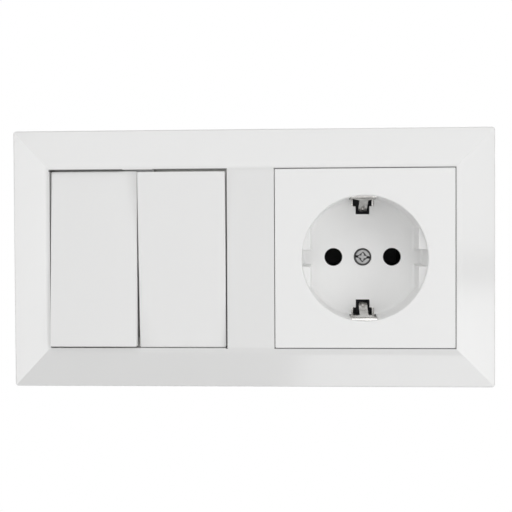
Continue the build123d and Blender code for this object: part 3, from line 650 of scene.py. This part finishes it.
@dataclass(frozen=True)
class ScrewHeadMetal(BareMetal):
    """Screw metal with painted shade below the head's face and a painted highlight in the middle of the
    drive recess.
    """

    face_y_mm: float = 0.0
    fade_mm: float = 0.3
    dirt: float = 0.05
    worn_mm: float = 1.35
    worn_edge_mm: float = 0.25
    wear: float = 1.05

    @property
    def slot(self) -> str:
        """The record's material slot."""
        return "screw_steel"

    def colour_of(self, sheet: Sheet) -> Socket:
        """Builds the metal's colour, with painted shade deepening below the face and a painted highlight
        in the middle of the drive.

        Args:
            sheet: The material's node tree.

        Returns:
            The colour socket.
        """
        x, y, z = sheet.place()
        # Painted shade: the colour darkens with depth below the head's face.
        depth = sheet.fade(y, self.face_y_mm, self.face_y_mm + self.fade_mm, 1.0, self.dirt)
        reach = sheet.maths("ADD", sheet.apart(x, GANG_MM), sheet.maths("ABSOLUTE", z))
        # Painted highlight: the middle of the cross drive is painted brighter than the face.
        highlighted = sheet.fade(reach, self.worn_mm, self.worn_mm + self.worn_edge_mm, self.wear, 0.0)
        shade = sheet.maths("MAXIMUM", depth, highlighted)
        return sheet.dimmed(BareMetal.colour_of(self, sheet), shade)


@dataclass(frozen=True)
class FacePlastic(MouldedPlastic):
    """Plastic seen from the room, with painted shade in the windows' narrow gaps and in the screw seat."""

    window_half_mm: float = 28.0
    gap_half_mm: float = 0.3
    gap_front_y_mm: float = -8.97
    gap_depth_mm: float = 0.15
    seat_radius_mm: float = 2.9
    seat_edge_mm: float = 0.1
    tab_half_mm: float = 4.6
    dust: float = 0.12

    def outline(self, sheet: Sheet, aside: Socket, z: Socket) -> Socket:
        """Marks the narrow band that follows a window's square outline.

        Args:
            sheet: The material's node tree.
            aside: Distance to the right of the window's middle.
            z: Height above the window's middle.

        Returns:
            A number that is 1 on the outline and 0 away from it.
        """
        away = [sheet.maths("ABSOLUTE", side) for side in (aside, z)]
        off = sheet.apart(sheet.maths("MAXIMUM", *away), self.window_half_mm)
        return sheet.fade(off, self.gap_half_mm / 2, self.gap_half_mm, 1.0, 0.0)

    def switch_band(self, sheet: Sheet, aside: Socket, z: Socket) -> Socket:
        """Marks the switch window's top and right gaps, apart from the stretch along the tab.

        Args:
            sheet: The material's node tree.
            aside: Distance to the right of the window's middle.
            z: Height above the window's middle.

        Returns:
            A number that is 1 in those gaps and 0 elsewhere.
        """
        inner = self.window_half_mm - 2 * self.gap_half_mm
        outer = self.window_half_mm - self.gap_half_mm
        past = self.tab_half_mm + self.gap_half_mm
        upper_right = sheet.fade(sheet.maths("MAXIMUM", aside, z), inner, outer, 0.0, 1.0)
        off_middle = sheet.maths("ABSOLUTE", aside)
        beside_tab = sheet.fade(off_middle, self.tab_half_mm, past, 0.0, 1.0)
        mask = sheet.maths("MULTIPLY", upper_right, beside_tab)
        return sheet.maths("MULTIPLY", self.outline(sheet, aside, z), mask)

    def colour_of(self, sheet: Sheet) -> Socket:
        """Builds the mottled colour with painted shade in the gaps and the screw seat.

        Args:
            sheet: The material's node tree.

        Returns:
            The colour socket.
        """
        x, y, z = sheet.place()
        from_socket = sheet.maths("SUBTRACT", x, GANG_MM * MM)
        from_switch = sheet.maths("ADD", x, GANG_MM * MM)
        switch = self.switch_band(sheet, from_switch, z)
        band = sheet.maths("MAXIMUM", self.outline(sheet, from_socket, z), switch)
        back_y = self.gap_front_y_mm + self.gap_depth_mm
        # Painted shade: the walls of the narrow gaps darken behind their front edge.
        deep = sheet.fade(y, self.gap_front_y_mm, back_y, 0.0, 1.0 - self.dust)
        hidden = sheet.maths("MULTIPLY", band, deep)
        lit = sheet.maths("ABSOLUTE", sheet.maths("SUBTRACT", hidden, 1.0))
        # Painted shade in the ring of the screw seat.
        inside = self.seat_radius_mm - self.seat_edge_mm
        off_screw = sheet.reach(from_socket, z)
        seat = sheet.fade(off_screw, inside, self.seat_radius_mm, self.dust, 1.0)
        shade = sheet.maths("MULTIPLY", lit, seat)
        return sheet.dimmed(MouldedPlastic.colour_of(self, sheet), shade)


def terminal_heads(insert: str) -> ScrewHeadMetal:
    """Describes the metal of an insert's terminal screws, whose faces look away from the room.

    Args:
        insert: The insert's name.

    Returns:
        The finish, with painted shade in the slots and no painted highlight in the middle.
    """
    face_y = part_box(f"{insert}_terminal_screws")[1][1]
    # Painted shade in the slots, below the face that looks into the wall; no painted highlight.
    return ScrewHeadMetal(
        f"{insert}_screw_heads", (0.60, 0.60, 0.59), (0.40, 0.40, 0.39), 0.28, EVEN_GRAIN,
        face_y_mm=face_y / MM, fade_mm=-0.3, wear=0.0,
    )


WHITE = (0.93, 0.93, 0.925)
WHITE_SHADE = (0.915, 0.915, 0.91)
ROCKER_TINT = (0.905, 0.905, 0.90)
ROCKER_SHADE = (0.89, 0.89, 0.885)
FRAME_TINT = (0.835, 0.835, 0.83)
FRAME_SHADE = (0.82, 0.82, 0.815)
SCREW_FACE_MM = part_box("centre_screw")[0][1] / MM


class Finish(Enum):
    """Every finish on the part, by its material slot or its piece."""

    FRAME_WHITE = FacePlastic("frame_white", FRAME_TINT, FRAME_SHADE, 0.12, specular=0.75)
    ROCKER_WHITE = FacePlastic("rocker_white", ROCKER_TINT, ROCKER_SHADE, 0.32)
    SOCKET_WHITE = FacePlastic("socket_white", WHITE, WHITE_SHADE, 0.32, pins=True)
    CRADLE_WHITE = MouldedPlastic("cradle_white", (0.74, 0.74, 0.72), (0.70, 0.70, 0.68), 0.5)
    TOGGLE_GREY = MouldedPlastic("toggle_grey", (0.34, 0.35, 0.36), (0.30, 0.31, 0.32), 0.5)
    BASE_GREY = MouldedPlastic(
        "base_grey", (0.075, 0.078, 0.085), (0.055, 0.058, 0.064), 0.55,
        grain=Noise(900.0, 2.0), grain_depth_mm=0.01, pins=True,
    )
    PLATED_STEEL = BareMetal("plated_steel", (0.62, 0.62, 0.60), (0.46, 0.46, 0.44), 0.34)
    SCREW_STEEL = BareMetal("screw_steel", (0.66, 0.66, 0.65), (0.45, 0.45, 0.44), 0.28, EVEN_GRAIN)
    SPRING_STEEL = BareMetal("spring_steel", (0.45, 0.45, 0.46), (0.30, 0.30, 0.31), 0.3, EVEN_GRAIN)
    SCREW_HEAD = ScrewHeadMetal(
        "screw_head", (0.34, 0.34, 0.34), (0.20, 0.20, 0.20), 0.3, EVEN_GRAIN,
        face_y_mm=SCREW_FACE_MM,
    )
    SWITCH_HEADS = terminal_heads("switch")
    SOCKET_HEADS = terminal_heads("socket")
    TINNED_BRASS = BareMetal("tinned_brass", (0.80, 0.79, 0.77), (0.30, 0.29, 0.28), 0.24, UPRIGHT_STREAKS)
    BARE_BRASS = BareMetal("bare_brass", (0.72, 0.50, 0.20), (0.42, 0.26, 0.10), 0.3, pins=True)
    CONTACT_SILVER = BareMetal("contact_silver", (0.78, 0.77, 0.74), (0.50, 0.49, 0.46), 0.25, EVEN_GRAIN)


class FinishShelf:
    """Makes each finish's material once and hands it out."""

    def __init__(self) -> None:
        """Starts with no materials made."""
        self._made: dict[Finish, bpy.types.Material] = {}

    def get(self, finish: Finish) -> bpy.types.Material:
        """Gives the material of a finish.

        Args:
            finish: The finish wanted.

        Returns:
            Its material.
        """
        if finish not in self._made:
            self._made[finish] = finish.value.material()
        return self._made[finish]


@dataclass
class NodeDresser:
    """Stands a merged, smooth-shaded shell in for each CAD node, in the node's finish."""

    shelf: FinishShelf
    crease_deg: float = 28.0
    merge_mm: float = 0.001
    normal_weight: int = 100

    def finish_of(self, node: str) -> Finish:
        """Looks up the finish of a CAD node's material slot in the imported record."""
        return Finish[SLOT_NAMES[node].upper()]

    def join(
        self, obj: bpy.types.Object, finish: Finish, body: Body | None, node: str | None = None
    ) -> None:
        """Gives a finished piece its material, slot and body.

        Args:
            obj: The piece, a plain mesh.
            finish: Its finish.
            body: The body it rides on, or None if it stretches between two.
            node: The CAD node it stands in for, if any.
        """
        obj.data.materials.clear()
        obj.data.materials.append(self.shelf.get(finish))
        if node is not None:
            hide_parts(node)
        if body is not None:
            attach(obj, body.value)
        held = body.value if body else "stretches"
        LOG.info("%s: %s, %d faces", obj.name, held, len(obj.data.polygons))

    def paint(self, node: str) -> None:
        """Gives a CAD node its finish on its own material slots.

        Args:
            node: The CAD node's name.
        """
        obj = frame["nodes"][node]
        material = self.shelf.get(self.finish_of(node))
        if not obj.material_slots:
            obj.data.materials.append(material)
        for slot in obj.material_slots:
            slot.material = material

    def shell(
        self, node: str, finish: Finish | None = None, keep_sharp: EdgeRule | None = None,
        carve: Carver | None = None,
    ) -> None:
        """Builds the merged, smooth-shaded copy of a node that stands in for it.

        Args:
            node: The CAD node's name.
            finish: Its finish, if not the one of its material slot.
            keep_sharp: Tells which further edges stay sharp.
            carve: Cuts fine detail into the merged copy.
        """
        mesh = frame["nodes"][node].data.copy()
        soften(mesh, self.crease_deg, self.merge_mm, keep_sharp)
        obj = add_object(f"{node}_shell", mesh)
        if carve is not None:
            carve(obj)
            soften(obj.data, self.crease_deg, self.merge_mm, keep_sharp)
        weights = obj.modifiers.new("weights", "WEIGHTED_NORMAL")
        weights.keep_sharp = True
        weights.weight = self.normal_weight
        bake(obj)
        self.join(obj, finish or self.finish_of(node), Body(BODY_NAMES[node]), node)

    def grown(
        self, tree: GrowTree, shape: Socket, name: str, points_mm: Sequence[Point],
        finish: Finish, body: Body | None, place: Matrix, node: str | None = None,
    ) -> bpy.types.Object:
        """Grows a piece from a tree, sets it in its place and dresses it.

        Args:
            tree: The piece's tree.
            shape: The finished shape's socket.
            name: The piece's name.
            points_mm: The points to grow on.
            finish: Its finish.
            body: The body it rides on, or None if it stretches between two.
            place: Turns the tree's axes into the part's frame.
            node: The CAD node it stands in for, if any.

        Returns:
            The dressed piece.
        """
        obj = tree.grow(name, shape, self.shelf.get(finish), points_mm)
        obj.data.transform(place)
        soften(obj.data, self.crease_deg, self.merge_mm)
        self.join(obj, finish, body, node)
        return obj


@dataclass
class CoverFrame:
    """The two-gang frame, whose mitred borders meet in crisp hips."""

    node: str = "cover_frame"
    level_tilt: float = 0.004

    def hip(self, edge: bmesh.types.BMEdge) -> bool:
        """Tells whether an edge is a mitre between a side border and a top or bottom border.

        Args:
            edge: An edge with two faces.

        Returns:
            True where one face leans sideways and the other up or down.
        """
        leans = [(abs(face.normal.x), abs(face.normal.z)) for face in edge.link_faces]
        if any(max(lean) < self.level_tilt for lean in leans):
            return False
        return (leans[0][0] > leans[0][1]) != (leans[1][0] > leans[1][1])

    def build(self, dresser: NodeDresser) -> None:
        """Dresses the frame."""
        dresser.shell(self.node, keep_sharp=self.hip)


@dataclass
class TerminalSet:
    """The slotted terminal screws and ridged wire clamps at the back of one insert."""

    insert: str
    heads: Finish
    spots_mm: Sequence[tuple[float, float]]
    head_radius_mm: float = 2.7
    head_taper_mm: float = 0.2
    head_height_mm: float = 1.6
    head_sides: int = 40
    slot_mm: float = 0.8
    blade_reach: float = 3.0
    core_radius_mm: float = 1.3
    core_sides: int = 24
    thread_radius_mm: float = 1.36
    thread_depth_mm: float = 0.14
    thread_steps: int = 20
    tooth_sides: int = 3
    pitch_mm: float = 0.5
    shank_mm: float = 5.8
    ridge_mm: float = 0.3
    ridge_sides: int = 3
    ridge_length_mm: float = 6.8
    ridge_pitch_mm: float = 0.9
    ridges: int = 8

    @property
    def nodes(self) -> tuple[str, str]:
        """The CAD nodes of the screws and the clamps."""
        return f"{self.insert}_terminal_screws", f"{self.insert}_wire_clamps"

    @property
    def spots(self) -> list[Point]:
        """The screw places in a tree's axes."""
        return [(x, -z, 0.0) for x, z in self.spots_mm]

    def place(self, face: ClampFace) -> Matrix:
        """Turns a tree's upward axis to point into the wall, from one face of the clamps.

        Args:
            face: The face that the tree's base plane lies on.

        Returns:
            The turn and shift into the part's frame.
        """
        face_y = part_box(self.nodes[1])[face.value][1]
        return Matrix.Translation((0.0, face_y, 0.0)) @ Matrix.Rotation(-math.pi / 2, 4, "X")

    def head(self, tree: GrowTree) -> Socket:
        """Adds a cheese head with a slot that is as deep as it is wide.

        Args:
            tree: The screws' tree.

        Returns:
            The head's socket, standing on the base plane.
        """
        radius = tree.size("Head Radius", self.head_radius_mm)
        height = tree.size("Head Height", self.head_height_mm)
        slot = tree.size("Slot", self.slot_mm)
        top = tree.maths("SUBTRACT", radius, self.head_taper_mm * MM)
        cone = tree.add(
            "GeometryNodeMeshCone", Vertices=self.head_sides, Radius_Top=top,
            Radius_Bottom=radius, Depth=height,
        )
        across = tree.maths("MULTIPLY", radius, self.blade_reach)
        double = tree.maths("MULTIPLY", slot, 2.0)
        blade = tree.add("GeometryNodeMeshCube", Size=tree.vector(X=across, Y=slot, Z=double))
        return tree.cut(cone, tree.moved(blade, Z=height))

    def shank(self, tree: GrowTree) -> list[Socket]:
        """Adds a core with its thread.

        Args:
            tree: The screws' tree.

        Returns:
            The sockets of the core and the thread, hanging from the base plane.
        """
        length = tree.size("Shank", self.shank_mm)
        pitch = tree.size("Pitch", self.pitch_mm)
        core = tree.add(
            "GeometryNodeMeshCylinder", Vertices=self.core_sides,
            Radius=tree.size("Core", self.core_radius_mm), Depth=length,
        )
        ring = tree.size("Thread Radius", self.thread_radius_mm)
        helix = tree.add(
            "GeometryNodeCurveSpiral", Resolution=self.thread_steps,
            Rotations=tree.maths("DIVIDE", length, pitch), Start_Radius=ring, End_Radius=ring,
            Height=tree.maths("SUBTRACT", length, pitch),
        )
        tooth = tree.add(
            "GeometryNodeCurvePrimitiveCircle", Resolution=self.tooth_sides,
            Radius=tree.size("Tooth", self.thread_depth_mm),
        )
        down = tree.maths("MULTIPLY", length, -1.0)
        middle = tree.maths("MULTIPLY", length, -0.5)
        lifted = tree.maths("ADD", down, tree.maths("MULTIPLY", pitch, 0.5))
        return [tree.moved(core, Z=middle), tree.moved(tree.swept(helix, tooth), Z=lifted)]

    def screws(self, dresser: NodeDresser) -> None:
        """Grows the terminal screws: a slotted cheese head, a core and a thread.

        Args:
            dresser: Dresses the piece.
        """
        tree = GrowTree(f"{self.insert}_screw_tree")
        bits = [self.head(tree), *self.shank(tree)]
        screw = tree.add("GeometryNodeJoinGeometry", Geometry=bits)
        shape = tree.repeated(tree.points, screw)
        node = self.nodes[0]
        dresser.grown(
            tree, shape, f"{node}_grown", self.spots, self.heads, Body.FIXED,
            self.place(ClampFace.BACK), node,
        )

    def clamps(self, dresser: NodeDresser) -> None:
        """Dresses the wire clamps and grows the gripping ridges on the side that meets the wire.

        Args:
            dresser: Dresses the pieces.
        """
        dresser.shell(self.nodes[1])
        tree = GrowTree(f"{self.insert}_ridge_tree")
        pitch = tree.size("Ridge Pitch", self.ridge_pitch_mm)
        number = tree.count("Ridges", self.ridges)
        bar = tree.add(
            "GeometryNodeMeshCylinder", Vertices=self.ridge_sides,
            Radius=tree.size("Ridge", self.ridge_mm),
            Depth=tree.size("Ridge Length", self.ridge_length_mm),
        )
        lying = tree.add("GeometryNodeTransform", Geometry=bar, Rotation=(0.0, math.pi / 2, 0.0))
        steps = tree.maths("SUBTRACT", number, 1.0)
        first = tree.maths("MULTIPLY", steps, tree.maths("MULTIPLY", pitch, -0.5))
        row = tree.add(
            "GeometryNodeMeshLine", Count=number, Start_Location=tree.vector(Y=first),
            Offset=tree.vector(Y=pitch),
        )
        shape = tree.repeated(tree.points, tree.repeated(row, lying))
        dresser.grown(
            tree, shape, f"{self.insert}_clamp_ridges", self.spots, Finish.SCREW_STEEL,
            Body.FIXED, self.place(ClampFace.FRONT),
        )

    def build(self, dresser: NodeDresser) -> None:
        """Builds the screws and the clamps."""
        self.screws(dresser)
        self.clamps(dresser)


@dataclass
class RockerSwitch:
    """The double rocker switch: rockers with sprung plungers that tip the contact bridges."""

    terminals: TerminalSet
    coil_radius_mm: float = 1.7
    wire_radius_mm: float = 0.25
    coil_height_mm: float = 4.5
    coil_turns: float = 4.5
    coil_start_mm: float = 2.2
    coil_steps: int = 32
    wire_sides: int = 10
    nodes: tuple[str, ...] = (
        "switch_support_plate", "switch_base", "switch_rivets", "switch_cradle",
        "common_terminal", "fixed_contacts",
    )
    pairs: tuple[str, ...] = (
        "terminal", "rocker", "toggle", "plunger", "contact_bridge", "moving_contact",
    )

    def coil_place(self, side: str) -> Matrix:
        """Finds where a spring stands: in the tube below its rocker's pivot.

        Args:
            side: Left or right.

        Returns:
            The turn and shift from the coil's axes into the part's frame.
        """
        pivot = Vector(JOINTS[f"{side}_rocker_tilt"]["pos_m"])
        along = -Vector(JOINTS[f"{side}_plunger_slide"]["axis"]).normalized()
        turn = along.to_track_quat("Z", "Y").to_matrix().to_4x4()
        return Matrix.Translation(pivot + along * self.coil_start_mm * MM) @ turn

    def coil(self, side: str, dresser: NodeDresser) -> None:
        """Grows one coil spring, held by the rocker at one end and the plunger at the other.

        Args:
            side: Left or right.
            dresser: Dresses the piece.
        """
        tree = GrowTree(f"{side}_coil_tree")
        radius = tree.size("Radius", self.coil_radius_mm)
        helix = tree.add(
            "GeometryNodeCurveSpiral", Resolution=self.coil_steps,
            Rotations=tree.number("Turns", self.coil_turns), Start_Radius=radius,
            End_Radius=radius, Height=tree.size("Height", self.coil_height_mm),
        )
        wire = tree.add(
            "GeometryNodeCurvePrimitiveCircle", Resolution=self.wire_sides,
            Radius=tree.size("Wire", self.wire_radius_mm),
        )
        shape = tree.repeated(tree.points, tree.swept(helix, wire))
        node = f"{side}_spring"
        place = self.coil_place(side)
        obj = dresser.grown(
            tree, shape, f"{node}_grown", [ORIGIN], Finish.SPRING_STEEL, None, place, node
        )
        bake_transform(obj)

    def build(self, dresser: NodeDresser) -> None:
        """Builds the whole switch.

        Args:
            dresser: Dresses the pieces.
        """
        for node in self.nodes:
            dresser.shell(node)
        for side in SIDES:
            for piece in self.pairs:
                dresser.shell(f"{side}_{piece}")
            self.coil(side, dresser)
        self.terminals.build(dresser)


@dataclass
class SocketOutlet:
    """The earthed socket: a cover with its plug recess, contacts, an earth strap and a base."""

    terminals: TerminalSet
    screw_node: str = "centre_screw"
    slot_made_deg: float = 6.0
    slot_seen_deg: float = -5.0
    drive_face_mm: float = 1.8
    drive_end_mm: float = 0.25
    drive_depth_mm: float = 1.15
    drive_front_mm: float = 0.3
    drive_sides: int = 4
    nodes: tuple[str, ...] = (
        "socket_cover", "socket_support_plate", "socket_base", "socket_rivets", "centre_nut",
        "earth_strap", "live_contact", "neutral_contact",
    )

    def drive_cutter(self) -> bpy.types.Mesh:
        """Makes the tapered cutter of the cross drive.

        Returns:
            The cutter, with the screw's face at the origin and its tip towards +Y.
        """
        taper = (self.drive_face_mm - self.drive_end_mm) / self.drive_depth_mm
        length = self.drive_front_mm + self.drive_depth_mm
        shape = bmesh.new()
        bmesh.ops.create_cone(
            shape, cap_ends=True, segments=self.drive_sides,
            radius1=(self.drive_face_mm + taper * self.drive_front_mm) * MM,
            radius2=self.drive_end_mm * MM, depth=length * MM,
        )
        mesh = bpy.data.meshes.new("drive_cutter")
        shape.to_mesh(mesh)
        shape.free()
        middle = Matrix.Translation((0.0, (length / 2 - self.drive_front_mm) * MM, 0.0))
        mesh.transform(middle @ Matrix.Rotation(-math.pi / 2, 4, "X"))
        return mesh

    def carve_drive(self, screw: bpy.types.Object) -> None:
        """Turns the screw as it was left and cuts the tapered middle of its cross drive.

        Args:
            screw: The merged copy of the screw.
        """
        low, high = (Vector(corner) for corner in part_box(self.screw_node))
        face = Matrix.Translation(((low.x + high.x) / 2, low.y, (low.z + high.z) / 2))
        turn = Matrix.Rotation(math.radians(self.slot_made_deg - self.slot_seen_deg), 4, "Y")
        screw.data.transform(face @ turn @ face.inverted())
        mesh = self.drive_cutter()
        mesh.transform(face @ Matrix.Rotation(math.radians(-self.slot_seen_deg), 4, "Y"))
        cutter = add_object("drive_cutter", mesh)
        cut = screw.modifiers.new("drive", "BOOLEAN")
        cut.operation = "DIFFERENCE"
        cut.object = cutter
        bake(screw)
        bpy.data.objects.remove(cutter)

    def build(self, dresser: NodeDresser) -> None:
        """Builds the whole socket.

        Args:
            dresser: Dresses the pieces.
        """
        for node in self.nodes:
            dresser.shell(node)
        dresser.shell(self.screw_node, Finish.SCREW_HEAD, carve=self.carve_drive)
        self.terminals.build(dresser)


@dataclass(frozen=True)
class Lamp:
    """A soft box lamp that faces the origin."""

    name: str
    place_mm: Point
    size_mm: tuple[float, float]
    watts: float

    def hang(self) -> None:
        """Hangs the lamp in the scene."""
        data = bpy.data.lights.new(self.name, "AREA")
        data.shape = "RECTANGLE"
        data.size, data.size_y = (side * MM for side in self.size_mm)
        data.energy = self.watts
        place = Vector(self.place_mm) * MM
        turn = (-place).to_track_quat("-Z", "Y").to_matrix().to_4x4()
        add_object(self.name, data).matrix_world = Matrix.Translation(place) @ turn


@dataclass
class Studio:
    """Floor, white surround, soft lamps and the camera at the photograph's angle."""

    floor_z_mm: float = -600.0
    floor_size_mm: float = 4000.0
    floor_colour: Colour = (0.8, 0.8, 0.8)
    floor_roughness: float = 0.9
    focal_px: float = 1070.0
    image_px: float = 512.0
    sensor_mm: float = 36.0
    clip_mm: float = 10.0
    distance_mm: float = 343.0
    azimuth_deg: float = 3.36
    elevation_deg: float = 1.39
    roll_deg: float = -0.28
    aim_x_mm: float = 1.15
    aim_z_mm: float = 0.60
    surround: float = 0.40
    lamps: tuple[Lamp, ...] = (
        Lamp("left_box", (-728.0, -529.0, -30.0), (320.0, 340.0), 0.90),
        Lamp("right_box", (439.0, -409.0, -160.0), (260.0, 250.0), 0.50),
        Lamp("right_upper_box", (439.0, -409.0, 110.0), (260.0, 250.0), 0.33),
        Lamp("top_box", (-30.0, -670.0, 600.0), (620.0, 400.0), 1.40),
        Lamp("front_box", (120.0, -1300.0, -60.0), (1000.0, 1000.0), 1.75),
        Lamp("back_box", (300.0, 950.0, 380.0), (600.0, 600.0), 2.2),
        Lamp("low_box", (115.0, -405.0, -546.0), (230.0, 120.0), 0.13),
    )

    def camera(self) -> None:
        """Places the camera where the photograph was taken from."""
        angles = (self.azimuth_deg, self.elevation_deg, self.roll_deg)
        yaw, pitch, roll = (math.radians(angle) for angle in angles)
        level = math.cos(pitch)
        back = Vector((math.sin(yaw) * level, -math.cos(yaw) * level, math.sin(pitch)))
        right = (-back).cross(Vector((0.0, 0.0, 1.0))).normalized()
        up = right.cross(-back)
        turned_right = right * math.cos(roll) + up * math.sin(roll)
        turned_up = up * math.cos(roll) - right * math.sin(roll)
        data = bpy.data.cameras.new("camera")
        data.sensor_width = self.sensor_mm
        data.lens = self.focal_px / self.image_px * self.sensor_mm
        data.clip_start = self.clip_mm * MM
        camera = add_object("camera", data)
        place = Vector((self.aim_x_mm, 0.0, self.aim_z_mm)) + back * self.distance_mm
        turn = Matrix((turned_right, turned_up, back)).transposed().to_4x4()
        camera.matrix_world = Matrix.Translation(place * MM) @ turn
        bpy.context.scene.camera = camera

    def world(self) -> None:
        """Makes the surround: white where it is seen, and a soft even light."""
        world = bpy.data.worlds.new("surround")
        bpy.context.scene.world = world
        world.use_nodes = True
        tree = world.node_tree
        tree.nodes.clear()
        output = tree.nodes.new("ShaderNodeOutputWorld")
        light = tree.nodes.new("ShaderNodeBackground")
        light.inputs["Color"].default_value = (1.0, 1.0, 1.0, 1.0)
        level = tree.nodes.new("ShaderNodeMapRange")
        level.inputs["To Min"].default_value = self.surround
        tree.links.new(seen_ray(tree), level.inputs["Value"])
        tree.links.new(level.outputs["Result"], light.inputs["Strength"])
        tree.links.new(light.outputs[0], output.inputs["Surface"])

    def floor(self) -> None:
        """Lays the pale floor below the part."""
        half = self.floor_size_mm / 2 * MM
        z = self.floor_z_mm * MM
        mesh = bpy.data.meshes.new("floor")
        corners = [(-half, -half, z), (half, -half, z), (half, half, z), (-half, half, z)]
        mesh.from_pydata(corners, [], [(0, 1, 2, 3)])
        sheet = Sheet("floor_white")
        sheet.shader.inputs["Base Color"].default_value = (*self.floor_colour, 1.0)
        sheet.shader.inputs["Roughness"].default_value = self.floor_roughness
        glow = sheet.add("ShaderNodeEmission")
        mix = sheet.add("ShaderNodeMixShader")
        sources = (seen_ray(sheet.tree), sheet.shader.outputs[0], glow.outputs[0])
        for source, target in zip(sources, mix.inputs):
            sheet.link(source, target)
        sheet.link(mix.outputs[0], sheet.tree.nodes["Material Output"].inputs["Surface"])
        mesh.materials.append(sheet.material)
        obj = add_object("floor", mesh)

    def build(self) -> None:
        """Sets up the whole studio."""
        bpy.context.scene.view_settings.view_transform = "Standard"
        self.camera()
        self.world()
        self.floor()
        for lamp in self.lamps:
            lamp.hang()


def main() -> None:
    """Builds every piece in order."""
    logging.basicConfig(level=logging.INFO)
    dresser = NodeDresser(FinishShelf())
    for node in frame["nodes"]:
        dresser.paint(node)
    CoverFrame().build(dresser)
    poles_mm = [JOINTS[f"{side}_rocker_tilt"]["pos_m"][0] / MM for side in SIDES]
    switch_spots = [(-GANG_MM, -TERMINAL_Z_MM), *((x, TERMINAL_Z_MM) for x in poles_mm)]
    RockerSwitch(TerminalSet("switch", Finish.SWITCH_HEADS, switch_spots)).build(dresser)
    sides_mm = (GANG_MM - SIDE_TERMINAL_X_MM, GANG_MM + SIDE_TERMINAL_X_MM)
    socket_spots = [*((x, SIDE_TERMINAL_Z_MM) for x in sides_mm), (GANG_MM, -TERMINAL_Z_MM)]
    SocketOutlet(TerminalSet("socket", Finish.SOCKET_HEADS, socket_spots)).build(dresser)
    Studio().build()


if __name__ == "__main__":
    main()
